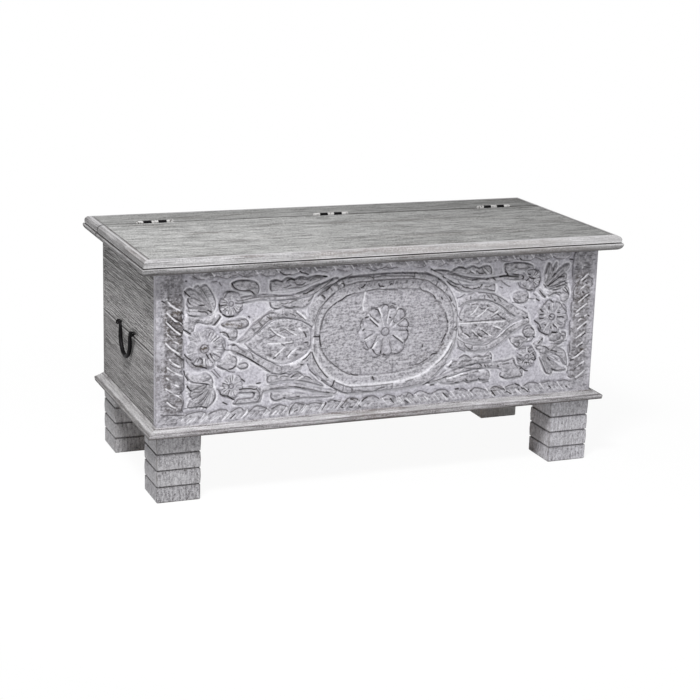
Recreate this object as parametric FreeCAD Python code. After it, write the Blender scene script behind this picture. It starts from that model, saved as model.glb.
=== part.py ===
import FreeCAD, Part
import os
from math import atan2, cos, degrees, pi, radians, sin, sqrt

V = FreeCAD.Vector

# Driving sizes of the chest, in millimetres
# The origin is on the floor under the middle of the top, X runs along the chest and Y to its back.
top_length = 1100.0
top_overhang = 40.0
chest_height = 528.0
body_depth = 444.0
foot_height = 148.0
foot_side = 97.0
base_thickness = 18.0
wall_thickness = 20.0
top_thickness = 20.0
bottom_thickness = 12.0
rail_width = 122.0
lid_gap = 2.0
edge_width = 20.0
edge_back_gap = 4.0

# Lines that the pieces share, all worked out from the driving sizes
top_depth = top_overhang + body_depth + edge_back_gap + edge_width
x_nose = top_length / 2
y_nose = -top_depth / 2
y_top_back = top_depth / 2
x_wall = x_nose - top_overhang
y_front = y_nose + top_overhang
y_back = y_front + body_depth
y_hinge = y_top_back - rail_width
y_lid = y_hinge - lid_gap / 2
y_rail = y_hinge + lid_gap / 2
z_base = foot_height
z_wall = foot_height + base_thickness
z_top = chest_height
z_rim = z_top - top_thickness
cut_over = 1.0
glue_fit = 0.05
side_signs = (-1, 1)

# Edge moulding of the top: insets are measured in from the nose and drops down from the top face
edge_height = 32.5
edge_arris_inset = 15.0
edge_ovolo_drop = 8.5
edge_ovolo_bulge = 2.6
edge_band_inset = 3.5
edge_quirk_drop = 15.0
edge_quirk_height = 2.0
edge_quirk_depth = 3.0
edge_bead_inset = 0.8
edge_bead_height = 2.5
edge_foot_inset = 11.0
edge_foot_bulge = 2.8

# Moulded frame under the body
base_reach = 22.5
base_ledge = 40.0
base_undercut = 1.5
base_bead_inset = 1.2
base_bead_drop = 2.0
base_shelf_inset = 3.0
base_shelf_drop = 8.2
base_quirk_inset = 12.5
base_quirk_half = 1.2
base_quirk_depth = 1.3

# Feet
foot_corner_radius = 2.5
foot_edge = 2.0
foot_groove_first = 34.5
foot_top_pillow = 41.5
foot_groove_count = 3
foot_groove_depth = 4.0
foot_groove_half = 2.2
foot_pillow = 0.8

# Boards of the sides and the back, and of the floor and the lid
side_joint_shares = (0.44, 0.8)
floor_board_count = 3
lid_board_count = 3
bearer_width = 44.0
batten_width = 40.0
batten_thickness = 16.0
batten_end_inset = 220.0
batten_gap = 14.0

# Dowels, screws and nails
dowel_radius = 4.0
dowel_end_gap = 0.5
corner_dowel_depth = 11.0
corner_dowel_length = 32.0
rail_dowel_depth = 12.0
rail_dowel_length = 32.0
rail_dowel_end_inset = 110.0
rail_dowel_count = 5
frame_screw_radius = 2.5
frame_screw_head = 5.0
base_screw_length = 50.0
base_screw_end_inset = 111.0
base_screw_count = 4
base_screw_side_inset = 110.0
foot_screw_length = 60.0
foot_screw_end_inset = 19.0
batten_screw_radius = 2.0
batten_screw_head = 4.0
batten_screw_length = 28.0
nail_radius = 1.2
nail_head = 2.6
nail_head_height = 0.8
nail_point_gap = 4.0
nail_end_inset = 30.0
nail_side_inset = 20.0

# Butt hinges set in the joint between the rail and the lid
hinge_length = 84.0
hinge_end_inset = 133.0
hinge_lift = 1.5
knuckle_radius = 4.0
rail_knuckle_length = 15.2
rail_knuckle_count = 3
knuckle_gap = 0.2
pin_radius = 2.0
pin_fit = 0.05
pin_head_radius = 2.9
pin_head_height = 1.0
leaf_thickness = 1.6
leaf_gap = 0.4
leaf_height = 18.5
leaf_fit = 0.1
knuckle_clearance = 0.4
leaf_screw_radius = 1.6
leaf_screw_head = 3.0
leaf_screw_length = 14.0
leaf_screw_drop = 12.0
leaf_screw_spacing = 32.0

# Drop handles on the two ends
handle_rise = 9.5
staple_spacing = 114.0
staple_clearance = 1.6
staple_fit = 0.3
staple_wire = 1.5
staple_shank = 2.0
staple_clinch = 8.0
bail_shoulder = 17.0
bail_straight = 15.0
bail_radius = 4.6
bail_neck_radius = 3.7
bail_bend = 7.0
bail_end_radius = 2.6
bail_taper = 5.0
bail_end_past = 9.0

# Carving of the front board
carve_depth = 4.0
carve_root = 1.0
border_depth = 2.5
margin_side = 9.0
margin_bottom = 2.0
border_width = 50.0
border_bottom_height = 26.0
border_gap = 5.0
rope_pitch = 41.0
rope_length = 48.0
rope_width = 15.0
rope_lean = pi / 7
medallion_drop = 2.0
ring_half_length = 171.0
ring_half_height = 129.0
ring_rim = 7.0
ring_band = 20.0
ring_end_radius = 100.0
rosette_radius = 57.0
rosette_petals = 12
rosette_hub = 10.0
leaf_length = 172.0
leaf_half_height = 66.0
leaf_rim = 13.0
leaf_tip_rim = 40.0
leaf_tip_gap = 2.0
petal_shoulder_share = 0.7
petal_root_share = 0.35
petal_width_share = 0.85
petal_gap = 2.0
flower_radius = 41.0
flower_petals = 8
flower_hub = 9.0
bud_radius = 25.0
bud_petals = 5
bud_hub = 5.0
fan_root = 6.0
fan_reach = 58.0
fan_blades = 5
fan_spread = radians(100)
stem_width = 7.0
tuft_length = 104.0
tuft_height = 18.0


# Building blocks that every section uses
def box(x0, x1, y0, y1, z0, z1):
    return Part.makeBox(x1 - x0, y1 - y0, z1 - z0, V(x0, y0, z0))


def prism(points, z0, z1):
    corners = [V(x, y, z0) for x, y in points]
    face = Part.Face(Part.makePolygon(corners + corners[:1]))
    return face.extrude(V(0, 0, z1 - z0))


def rod(start, direction, length, radius):
    return Part.makeCylinder(radius, length, start, direction)


def screw(start, direction, length, radius, head):
    cone = Part.makeCone(head, radius, head - radius, start, direction)
    shank = rod(start, direction, length - radius, radius)
    point = start + direction * (length - radius)
    tip = Part.makeCone(radius, radius / 4, radius, point, direction)
    return cone.fuse([shank, tip]).removeSplitter()


def screw_hole(start, direction, length, radius, head):
    back = start - direction * glue_fit
    cone = Part.makeCone(head + 2 * glue_fit, radius + glue_fit, head - radius + glue_fit, back, direction)
    shank = rod(back, direction, length + 2 * glue_fit, radius + glue_fit)
    return cone.fuse(shank)


def dowel_hole(start, direction, length):
    back = start - direction * dowel_end_gap
    return rod(back, direction, length + 2 * dowel_end_gap, dowel_radius + glue_fit)


def drilled(board, holes):
    return board.cut([hole for hole in holes if board.BoundBox.intersect(hole.BoundBox)])


def spaced(reach, count):
    return [-reach + 2 * reach * index / (count - 1) for index in range(count)]


def group(solids):
    return Part.makeCompound(solids)


def mirrored(shape):
    return shape.mirror(V(0, 0, 0), V(1, 0, 0))


# Dowels that join the front and back boards to the ends of the side boards
def side_board_levels():
    first, second = [z_wall + share * (z_rim - z_wall) for share in side_joint_shares]
    return ("lower", z_wall, first), ("middle", first, second), ("upper", second, z_rim)


def corner_dowel_places():
    heights = []
    for _, low, high in side_board_levels():
        heights += [low + (high - low) / 4, high - (high - low) / 4]
    places = []
    for sign in side_signs:
        x = sign * (x_wall - wall_thickness / 2)
        for z in heights:
            places.append((V(x, y_front + wall_thickness - corner_dowel_depth, z), V(0, 1, 0)))
            places.append((V(x, y_back - wall_thickness + corner_dowel_depth, z), V(0, -1, 0)))
    return places


def corner_dowels():
    return group([rod(at, way, corner_dowel_length, dowel_radius) for at, way in corner_dowel_places()])


def corner_dowel_holes():
    return [dowel_hole(at, way, corner_dowel_length) for at, way in corner_dowel_places()]


# Dowels that hold the fixed rail of the top down on the back and the sides
def rail_dowel_places():
    z = z_rim + rail_dowel_depth
    y = y_back - wall_thickness / 2
    places = [V(x, y, z) for x in spaced(x_wall - rail_dowel_end_inset, rail_dowel_count)]
    y_side = (y_rail + y_back - wall_thickness + corner_dowel_depth - corner_dowel_length) / 2
    places += [V(sign * (x_wall - wall_thickness / 2), y_side, z) for sign in side_signs]
    return places


def rail_dowels():
    return group([rod(at, V(0, 0, -1), rail_dowel_length, dowel_radius) for at in rail_dowel_places()])


def rail_dowel_holes():
    return [dowel_hole(at, V(0, 0, -1), rail_dowel_length) for at in rail_dowel_places()]


# Screws that come up through the moulded frame into the walls of the body
def base_screw_places():
    places = []
    for y in (y_front + wall_thickness / 2, y_back - wall_thickness / 2):
        for x in spaced(x_wall - base_screw_end_inset, base_screw_count):
            places.append(V(x, y, z_base))
    for sign in side_signs:
        x = sign * (x_wall - wall_thickness / 2)
        for y in (y_front + base_screw_side_inset, y_back - base_screw_side_inset):
            places.append(V(x, y, z_base))
    return places


def base_screws():
    up = V(0, 0, 1)
    return group([screw(at, up, base_screw_length, frame_screw_radius, frame_screw_head)
                  for at in base_screw_places()])


def base_screw_holes():
    up = V(0, 0, 1)
    return [screw_hole(at, up, base_screw_length, frame_screw_radius, frame_screw_head)
            for at in base_screw_places()]


# Screws that go down through the moulded frame into the feet
def foot_screw_places():
    near = wall_thickness + base_ledge / 2
    far = foot_side - foot_screw_end_inset
    places = []
    for sign in side_signs:
        for across, along in ((near, far), (far, near)):
            x = sign * (x_wall - across)
            places += [V(x, y_front + along, z_wall), V(x, y_back - along, z_wall)]
    return places


def foot_screws():
    down = V(0, 0, -1)
    return group([screw(at, down, foot_screw_length, frame_screw_radius, frame_screw_head)
                  for at in foot_screw_places()])


def foot_screw_holes():
    down = V(0, 0, -1)
    return [screw_hole(at, down, foot_screw_length, frame_screw_radius, frame_screw_head)
            for at in foot_screw_places()]


# Feet: square blocks with three saw grooves all round, their outer faces flush with the body
def rounded_square(half, radius, z):
    flat = half - radius
    reach = radius * sqrt(0.5)
    edges = []
    for quarter in range(4):
        turn = quarter * pi / 2
        spin = FreeCAD.Rotation(V(0, 0, 1), degrees(turn))
        start = spin.multVec(V(half, -flat, z))
        end = spin.multVec(V(half, flat, z))
        middle = spin.multVec(V(flat + reach, flat + reach, z))
        stop = spin.multVec(V(flat, half, z))
        edges.append(Part.LineSegment(start, end).toShape())
        edges.append(Part.Arc(end, middle, stop).toShape())
    return Part.Wire(edges)


def foot_levels():
    half = foot_side / 2
    pitch = (foot_height - foot_groove_first - foot_top_pillow) / (foot_groove_count - 1)
    levels = [(0, half - foot_edge), (foot_edge, half - foot_pillow)]
    for index in range(foot_groove_count):
        z = foot_groove_first + index * pitch
        if index > 0:
            levels.append((z - pitch / 2, half))
        levels.append((z - foot_groove_half, half - foot_pillow))
        levels.append((z, half - foot_groove_depth))
        levels.append((z + foot_groove_half, half - foot_pillow))
    levels.append((foot_height - foot_top_pillow / 2, half))
    levels.append((foot_height, half))
    return levels


def foot(x_sign, y_sign):
    wires = [rounded_square(half, foot_corner_radius, z) for z, half in foot_levels()]
    block = Part.makeLoft(wires, True, True)
    x = x_sign * (x_wall - foot_side / 2)
    y = y_front + foot_side / 2 if y_sign < 0 else y_back - foot_side / 2
    block.translate(V(x, y, 0))
    return drilled(block, foot_screw_holes())


# Moulded frame under the body: mitred at the front corners, plain and flush at the back
def base_profile():
    slope_end = base_reach - base_shelf_inset
    rise = base_shelf_drop / slope_end
    top = z_wall
    quirk_z = top - (base_reach - base_quirk_inset) * rise
    quirk_lift = base_quirk_half * rise
    shelf_z = top - base_shelf_drop
    inner = base_reach + wall_thickness + base_ledge
    section = [(inner, top), (base_reach, top),
               (base_quirk_inset + base_quirk_half, quirk_z + quirk_lift),
               (base_quirk_inset, quirk_z - base_quirk_depth),
               (base_quirk_inset - base_quirk_half, quirk_z - quirk_lift),
               (base_shelf_inset, shelf_z), (base_bead_inset, shelf_z), (0, shelf_z - base_bead_drop),
               (base_undercut, z_base), (inner, z_base)]
    corners = [V(inset, 0, z) for inset, z in section]
    return Part.Face(Part.makePolygon(corners + corners[:1]))


def frame_holes(strip):
    return drilled(strip, base_screw_holes() + foot_screw_holes() + nail_holes())


def base_front():
    x = x_wall + base_reach
    y = y_front - base_reach
    depth = base_reach + wall_thickness + base_ledge
    strip = base_profile().extrude(V(0, 2 * x, 0))
    strip.rotate(V(0, 0, 0), V(0, 0, 1), 90)
    strip.translate(V(x, y, 0))
    plan = [(-x, y), (x, y), (x - depth, y + depth), (-x + depth, y + depth)]
    return frame_holes(strip.common(prism(plan, z_base, z_wall)))


def base_left():
    x = x_wall + base_reach
    y = y_front - base_reach
    depth = base_reach + wall_thickness + base_ledge
    strip = base_profile().extrude(V(0, y_back - y, 0))
    strip.translate(V(-x, y, 0))
    plan = [(-x, y), (-x + depth, y + depth), (-x + depth, y_back), (-x, y_back)]
    return frame_holes(strip.common(prism(plan, z_base, z_wall)))


def base_back():
    x = x_wall - wall_thickness - base_ledge
    y = y_back - wall_thickness - base_ledge
    return frame_holes(box(-x, x, y, y_back, z_base, z_wall))


def floor_bearer():
    y0 = y_front + wall_thickness + base_ledge
    y1 = y_back - wall_thickness - base_ledge
    half = bearer_width / 2
    return drilled(box(-half, half, y0, y1, z_base, z_wall), nail_holes())


# Floor: three boards that lie on the ledge of the frame and on the bearer, held by nails
def floor_board_width():
    return (body_depth - 2 * wall_thickness) / floor_board_count


def nail_places():
    top = z_wall + bottom_thickness
    end = x_wall - wall_thickness - nail_end_inset
    places = []
    for index in range(floor_board_count):
        low = y_front + wall_thickness + index * floor_board_width()
        for y in (low + nail_side_inset, low + floor_board_width() - nail_side_inset):
            places += [V(x, y, top) for x in (-end, 0, end)]
    return places


def nail_length():
    return bottom_thickness + base_thickness - nail_point_gap


def floor_nails():
    nails = []
    for at in nail_places():
        shank = rod(at, V(0, 0, -1), nail_length(), nail_radius)
        head = rod(at, V(0, 0, -1), nail_head_height, nail_head)
        nails.append(shank.fuse(head).removeSplitter())
    return group(nails)


def nail_holes():
    holes = []
    for at in nail_places():
        shank = rod(at, V(0, 0, -1), nail_length() + glue_fit, nail_radius + glue_fit)
        head = rod(at, V(0, 0, -1), nail_head_height + glue_fit, nail_head + glue_fit)
        holes.append(shank.fuse(head))
    return holes


def floor_board(index):
    low = y_front + wall_thickness + index * floor_board_width()
    x = x_wall - wall_thickness
    board = box(-x, x, low, low + floor_board_width(), z_wall, z_wall + bottom_thickness)
    return drilled(board, nail_holes())


# Side and back walls: three boards each, butted between and behind the front board
def side_board(low, high):
    y0 = y_front + wall_thickness
    y1 = y_back - wall_thickness
    board = box(-x_wall, -x_wall + wall_thickness, y0, y1, low, high)
    holes = corner_dowel_holes() + rail_dowel_holes() + base_screw_holes() + staple_holes()
    return drilled(board, holes)


def back_board(low, high):
    board = box(-x_wall, x_wall, y_back - wall_thickness, y_back, low, high)
    return drilled(board, corner_dowel_holes() + rail_dowel_holes() + base_screw_holes())


# Carving on the front board: flat raised shapes on a lowered ground
def raised(wire, height):
    solid = Part.Face(wire).extrude(V(0, -height - carve_root, 0))
    solid.translate(V(0, y_front + carve_depth + carve_root, 0))
    return solid


def polygon(points):
    corners = [V(x, 0, z) for x, z in points]
    return Part.makePolygon(corners + corners[:1])


def outline(edges):
    return Part.Wire([edge.toShape() for edge in edges])


def disc(x, z, radius):
    return Part.Wire(Part.makeCircle(radius, V(x, 0, z), V(0, 1, 0)))


def turned(places, x, z, turn):
    return [V(x + out * cos(turn) - side * sin(turn), 0, z + out * sin(turn) + side * cos(turn))
            for out, side in places]


def petal(x, z, turn, start, end, half_width):
    shoulder = start + petal_shoulder_share * (end - start)
    root = petal_root_share * half_width
    places = ((start, -root), (shoulder, -half_width), (end, 0), (shoulder, half_width), (start, root))
    points = turned(places, x, z, turn)
    return outline([Part.LineSegment(points[0], points[1]), Part.Arc(points[1], points[2], points[3]),
                    Part.LineSegment(points[3], points[4]), Part.LineSegment(points[4], points[0])])


def flower(x, z, radius, petals, hub):
    half_width = (radius - petal_gap) * sin(pi / petals) * petal_width_share
    shapes = [raised(disc(x, z, hub), carve_depth)]
    for index in range(petals):
        turn = 2 * pi * (index + 0.5) / petals
        shapes.append(raised(petal(x, z, turn, hub + petal_gap, radius, half_width), carve_depth))
    return shapes


def fan(x, z, aim):
    step = fan_spread / (fan_blades - 1)
    half_width = fan_reach * sin(step / 2) * petal_width_share
    shapes = []
    for index in range(fan_blades):
        turn = aim + (index - (fan_blades - 1) / 2) * step
        shapes.append(raised(petal(x, z, turn, fan_root, fan_reach, half_width), border_depth))
    return shapes


def band_along(points, width):
    half = width / 2
    upper, lower = [], []
    for index, (x, z) in enumerate(points):
        before = points[max(index - 1, 0)]
        after = points[min(index + 1, len(points) - 1)]
        way = atan2(after[1] - before[1], after[0] - before[0])
        upper.append((x - half * sin(way), z + half * cos(way)))
        lower.append((x + half * sin(way), z - half * cos(way)))
    return polygon(upper + lower[::-1])


def pointed_leaf(x, z, turn, length, half_height):
    half = length / 2
    points = turned(((-half, 0), (0, half_height), (half, 0), (0, -half_height)), x, z, turn)
    return outline([Part.Arc(points[0], points[1], points[2]), Part.Arc(points[2], points[3], points[0])])


def sunk(wire, low, high):
    solid = Part.Face(wire).extrude(V(0, high - low, 0))
    solid.translate(V(0, y_front + low, 0))
    return solid


# Medallion: an oval of four arcs, whose steps inwards keep the same width all round
def medallion_z():
    return (z_wall + z_rim) / 2 - medallion_drop


def ring(inset):
    end = ring_end_radius
    across = ring_half_length - end
    long_radius = (across ** 2 + ring_half_height ** 2 - end ** 2) / (2 * (ring_half_height - end))
    z = medallion_z()
    drop = long_radius - ring_half_height
    lean = atan2(drop, across)
    r = end - inset
    joints = [V(sx * (across + r * cos(lean)), 0, z + sz * r * sin(lean))
              for sx, sz in ((1, 1), (-1, 1), (-1, -1), (1, -1))]
    top = V(0, 0, z + ring_half_height - inset)
    bottom = V(0, 0, z - ring_half_height + inset)
    left = V(-ring_half_length + inset, 0, z)
    right = V(ring_half_length - inset, 0, z)
    return outline([Part.Arc(joints[0], top, joints[1]), Part.Arc(joints[1], left, joints[2]),
                    Part.Arc(joints[2], bottom, joints[3]), Part.Arc(joints[3], right, joints[0])])


def medallion(board):
    board = board.fuse(raised(ring(0), carve_depth))
    band = sunk(ring(ring_rim), -cut_over, carve_depth - border_depth)
    band = band.cut(sunk(ring(ring_rim + ring_band), -2 * cut_over, carve_depth))
    field = sunk(ring(2 * ring_rim + ring_band), -cut_over, carve_depth)
    board = board.cut([band, field])
    return board.fuse(flower(0, medallion_z(), rosette_radius, rosette_petals, rosette_hub))


def leaves():
    z = medallion_z()
    shapes = []
    for sign in side_signs:
        x = sign * (ring_half_length + leaf_tip_gap + leaf_length / 2)
        frame = pointed_leaf(x, z, 0, leaf_length, leaf_half_height)
        inner_height = leaf_half_height - leaf_rim
        inner_length = leaf_length - leaf_tip_rim
        body = pointed_leaf(x, z, 0, inner_length, inner_height)
        rim = raised(frame, carve_depth).cut(sunk(body, -cut_over, carve_depth + 2 * carve_root))
        blade = pointed_leaf(x, z, 0, inner_length - leaf_tip_rim / 2, inner_height - border_gap)
        shapes += [rim, raised(blade, border_depth)]
    return shapes


# Places of the flowers, fans and tufts, as shares of half the length and of the height of the board
flower_shares = ((-0.80, 0.48), (0.79, 0.52))
bud_shares = ((-0.69, 0.745), (-0.68, 0.225), (0.68, 0.78), (0.68, 0.26))
fan_shares = ((-0.76, 0.68, 140), (-0.76, 0.24, 200), (0.75, 0.72, 48), (0.74, 0.29, -30))
tuft_shares = ((-0.40, 0.85), (-0.42, 0.72), (-0.40, 0.25), (-0.37, 0.13),
               (0.39, 0.86), (0.39, 0.75), (0.40, 0.27), (0.37, 0.15))
stem_shares = ((0.60, 0.79), (0.50, 0.79), (0.40, 0.79), (0.30, 0.83), (0.22, 0.87))
stem_low_shares = ((0.62, 0.21), (0.55, 0.205), (0.43, 0.205), (0.35, 0.185), (0.21, 0.135))


def at_share(across, up):
    return across * x_wall, z_wall + up * (z_rim - z_wall)


def sprays():
    shapes = []
    for across, up in flower_shares:
        shapes += flower(*at_share(across, up), flower_radius, flower_petals, flower_hub)
    for across, up in bud_shares:
        shapes += flower(*at_share(across, up), bud_radius, bud_petals, bud_hub)
    for across, up, aim in fan_shares:
        shapes += fan(*at_share(across, up), radians(aim))
    for across, up in tuft_shares:
        x, z = at_share(across, up)
        tuft = pointed_leaf(x, z, 0, tuft_length, tuft_height / 2)
        shapes.append(raised(tuft, border_depth))
    for shares in (stem_shares, stem_low_shares):
        for sign in side_signs:
            route = [at_share(sign * across, up) for across, up in shares]
            shapes.append(raised(band_along(route, stem_width), carve_depth))
    return shapes


def borders():
    shapes = []
    z = z_wall + margin_bottom + border_bottom_height / 2
    reach = x_wall - margin_side - rope_pitch / 2
    count = int(2 * reach / rope_pitch)
    for index in range(count + 1):
        x = -reach + index * 2 * reach / count
        lean = rope_lean if x < 0 else -rope_lean
        shapes.append(raised(pointed_leaf(x, z, lean, rope_length, rope_width / 2), carve_depth))
    low = z_wall + margin_bottom + border_bottom_height + border_gap + rope_length / 2
    high = z_rim - rope_pitch
    count = int((high - low) / rope_pitch)
    for sign in side_signs:
        x = sign * (x_wall - margin_side - border_width / 2)
        for index in range(count + 1):
            level = low + index * (high - low) / count
            leaf = pointed_leaf(x, level, sign * rope_lean, rope_length, rope_width / 2)
            shapes.append(raised(leaf, carve_depth))
    return shapes


def front_panel():
    board = box(-x_wall, x_wall, y_front, y_front + wall_thickness, z_wall, z_rim)
    x = x_wall - margin_side
    ground = box(-x, x, y_front - cut_over, y_front + carve_depth, z_wall + margin_bottom, z_rim + cut_over)
    board = board.cut(ground)
    board = medallion(board)
    for shapes in (leaves(), sprays(), borders()):
        board = board.fuse(shapes)
    holes = corner_dowel_holes() + base_screw_holes()
    return drilled(board.removeSplitter(), holes)


# Edge moulding of the top, an ovolo over a band, a saw line and a round nose
def edge_profile():
    low = z_top - edge_height
    arris = V(edge_arris_inset, 0, z_top)
    band_top = V(edge_band_inset, 0, z_top - edge_ovolo_drop)
    half = (arris + band_top) * 0.5
    out = V(-edge_ovolo_drop, 0, edge_arris_inset - edge_band_inset)
    ovolo = half + out * (edge_ovolo_bulge / out.Length)
    quirk_top = z_top - edge_quirk_drop
    quirk_low = quirk_top - edge_quirk_height
    band_low = V(edge_band_inset, 0, quirk_top)
    quirk_a = V(edge_band_inset + edge_quirk_depth, 0, quirk_top)
    quirk_b = V(edge_band_inset + edge_quirk_depth, 0, quirk_low)
    bead = V(edge_bead_inset, 0, quirk_low)
    nose = V(0, 0, quirk_low - edge_bead_height)
    foot_out = V(edge_foot_inset, 0, low)
    half_low = (nose + foot_out) * 0.5
    under = V(-(nose.z - low), 0, -edge_foot_inset)
    under_point = half_low + under * (edge_foot_bulge / under.Length)
    inner_low = V(edge_width, 0, low)
    inner_top = V(edge_width, 0, z_top)
    edges = [Part.LineSegment(inner_top, arris), Part.Arc(arris, ovolo, band_top),
             Part.LineSegment(band_top, band_low), Part.LineSegment(band_low, quirk_a),
             Part.LineSegment(quirk_a, quirk_b), Part.LineSegment(quirk_b, bead),
             Part.LineSegment(bead, nose), Part.Arc(nose, under_point, foot_out),
             Part.LineSegment(foot_out, inner_low), Part.LineSegment(inner_low, inner_top)]
    return Part.Face(Part.Wire([edge.toShape() for edge in edges]))


def edge_strip(plan, length, turn, start):
    strip = edge_profile().extrude(V(0, length, 0))
    strip.rotate(V(0, 0, 0), V(0, 0, 1), turn)
    strip.translate(start)
    return strip.common(prism(plan, z_top - edge_height - cut_over, z_top + cut_over))


def lid_front_moulding():
    inner = y_nose + edge_width
    reach = x_nose - edge_width
    plan = [(-x_nose, y_nose), (x_nose, y_nose), (reach, inner), (-reach, inner)]
    return edge_strip(plan, top_length, 90, V(x_nose, y_nose, 0))


def lid_side_moulding():
    x = -x_nose + edge_width
    plan = [(-x_nose, y_nose), (x, y_nose + edge_width), (x, y_lid), (-x_nose, y_lid)]
    return edge_strip(plan, y_lid - y_nose, 0, V(-x_nose, y_nose, 0))


def rail_side_moulding():
    x = -x_nose + edge_width
    plan = [(-x_nose, y_rail), (x, y_rail), (x, y_top_back - edge_width), (-x_nose, y_top_back)]
    return edge_strip(plan, y_top_back - y_rail, 0, V(-x_nose, y_rail, 0))


def rail_back_moulding():
    inner = y_top_back - edge_width
    reach = x_nose - edge_width
    plan = [(-x_nose, y_top_back), (x_nose, y_top_back), (reach, inner), (-reach, inner)]
    return edge_strip(plan, top_length, -90, V(-x_nose, y_top_back, 0))


# Fixed rail along the back of the top
def back_rail():
    x = x_nose - edge_width
    board = box(-x, x, y_rail, y_top_back - edge_width, z_rim, z_top)
    return drilled(board, hinge_recesses() + rail_dowel_holes())


# Lid: three boards side by side, drawn together by two battens underneath
def lid_board_span(index):
    start = y_nose + edge_width
    width = (y_lid - start) / lid_board_count
    return start + index * width, start + (index + 1) * width


def lid_board(index):
    x = x_nose - edge_width
    low, high = lid_board_span(index)
    board = box(-x, x, low, high, z_rim, z_top)
    return drilled(board, hinge_recesses() + batten_screw_holes())


def batten_span():
    return y_front + wall_thickness + batten_gap, y_lid - batten_gap


def batten_place():
    return x_nose - batten_end_inset


def lid_batten():
    y0, y1 = batten_span()
    half = batten_width / 2
    x = -batten_place()
    batten = box(x - half, x + half, y0, y1, z_rim - batten_thickness, z_rim)
    return drilled(batten, batten_screw_holes())


def batten_screw_places():
    places = []
    for index in range(lid_board_count):
        low, high = lid_board_span(index)
        low = max(low, batten_span()[0])
        high = min(high, batten_span()[1])
        for sign in side_signs:
            for side in side_signs:
                x = sign * (batten_place() + side * batten_width / 4)
                y = (low + high) / 2 + side * (high - low) / 4
                places.append(V(x, y, z_rim - batten_thickness))
    return places


def batten_screws():
    up = V(0, 0, 1)
    return group([screw(at, up, batten_screw_length, batten_screw_radius, batten_screw_head)
                  for at in batten_screw_places()])


def batten_screw_holes():
    up = V(0, 0, 1)
    return [screw_hole(at, up, batten_screw_length, batten_screw_radius, batten_screw_head)
            for at in batten_screw_places()]


# Hinges: five knuckles, three on the leaf of the rail and two on the leaf of the lid
def hinge_axis_z():
    return z_top + hinge_lift


def hinge_centres():
    end = x_nose - hinge_end_inset
    return (-end, 0, end)


def barrel(x0, x1, radius):
    return rod(V(x0, y_hinge, hinge_axis_z()), V(1, 0, 0), x1 - x0, radius)


def rail_knuckle_spans(x):
    pitch = (hinge_length - rail_knuckle_length) / (rail_knuckle_count - 1)
    starts = [x - hinge_length / 2 + index * pitch for index in range(rail_knuckle_count)]
    return [(start, start + rail_knuckle_length) for start in starts]


def lid_knuckle_spans(x):
    ends = rail_knuckle_spans(x)
    return [(before[1], after[0]) for before, after in zip(ends, ends[1:])]


def hinge_recesses():
    recesses = []
    for x in hinge_centres():
        half = hinge_length / 2 + leaf_fit
        depth = leaf_gap / 2 + leaf_thickness + leaf_fit
        low = hinge_axis_z() - leaf_height - leaf_fit
        recesses.append(box(x - half, x + half, y_hinge - depth, y_hinge + depth, low, z_top + cut_over))
        end = hinge_length / 2 + pin_head_height + knuckle_clearance
        recesses.append(barrel(x - end, x + end, knuckle_radius + knuckle_clearance))
        for at, way in leaf_screw_places(x):
            recesses.append(rod(at, way, leaf_screw_length + leaf_fit, leaf_screw_radius + glue_fit))
    return recesses


def leaf_screw_places(x):
    z = hinge_axis_z() - leaf_screw_drop
    places = []
    for step in (-1, 0, 1):
        for side in side_signs:
            at = V(x + step * leaf_screw_spacing, y_hinge + side * leaf_gap / 2, z)
            places.append((at, V(0, side, 0)))
    return places


def hinge_leaf(x, side):
    own, other = rail_knuckle_spans(x), lid_knuckle_spans(x)
    if side < 0:
        own, other = other, own
    half = hinge_length / 2
    z = hinge_axis_z()
    ys = sorted((y_hinge + side * leaf_gap / 2, y_hinge + side * (leaf_gap / 2 + leaf_thickness)))
    leaf = box(x - half, x + half, ys[0], ys[1], z - leaf_height, z)
    for x0, x1 in other:
        leaf = leaf.cut(barrel(x0 - knuckle_gap / 2, x1 + knuckle_gap / 2, knuckle_radius + knuckle_gap))
    for x0, x1 in own:
        leaf = leaf.fuse(barrel(x0 + knuckle_gap / 2, x1 - knuckle_gap / 2, knuckle_radius))
    leaf = leaf.cut(barrel(x - half - cut_over, x + half + cut_over, pin_radius + pin_fit))
    for at, way in leaf_screw_places(x):
        if way.y * side > 0:
            leaf = leaf.cut(screw_hole(at, way, leaf_screw_length, leaf_screw_radius, leaf_screw_head))
    return leaf.removeSplitter()


def hinge_pin(x):
    half = hinge_length / 2
    pin = barrel(x - half, x + half, pin_radius)
    ends = [barrel(x - half - pin_head_height, x - half, pin_head_radius),
            barrel(x + half, x + half + pin_head_height, pin_head_radius)]
    return pin.fuse(ends)


def leaf_screws(side):
    screws = []
    for x in hinge_centres():
        for at, way in leaf_screw_places(x):
            if way.y * side > 0:
                screws.append(screw(at, way, leaf_screw_length, leaf_screw_radius, leaf_screw_head))
    return group(screws)


# Staples of the left handle, driven through the middle side board and clinched inside
def staple_hole():
    return bail_end_radius + staple_fit


def handle_stand():
    return staple_hole() + 2 * staple_wire + staple_clearance


def handle_centre():
    middle_board_low = side_board_levels()[1][1]
    return V(-x_wall - handle_stand(), (y_front + y_back) / 2, middle_board_low + handle_rise)


def staple_centres():
    centre = handle_centre()
    return [centre + V(0, sign * staple_spacing / 2, 0) for sign in side_signs]


def staple_holes():
    reach = handle_stand() + wall_thickness + cut_over
    return [rod(at, V(1, 0, 0), reach, staple_shank + glue_fit) for at in staple_centres()]


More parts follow.
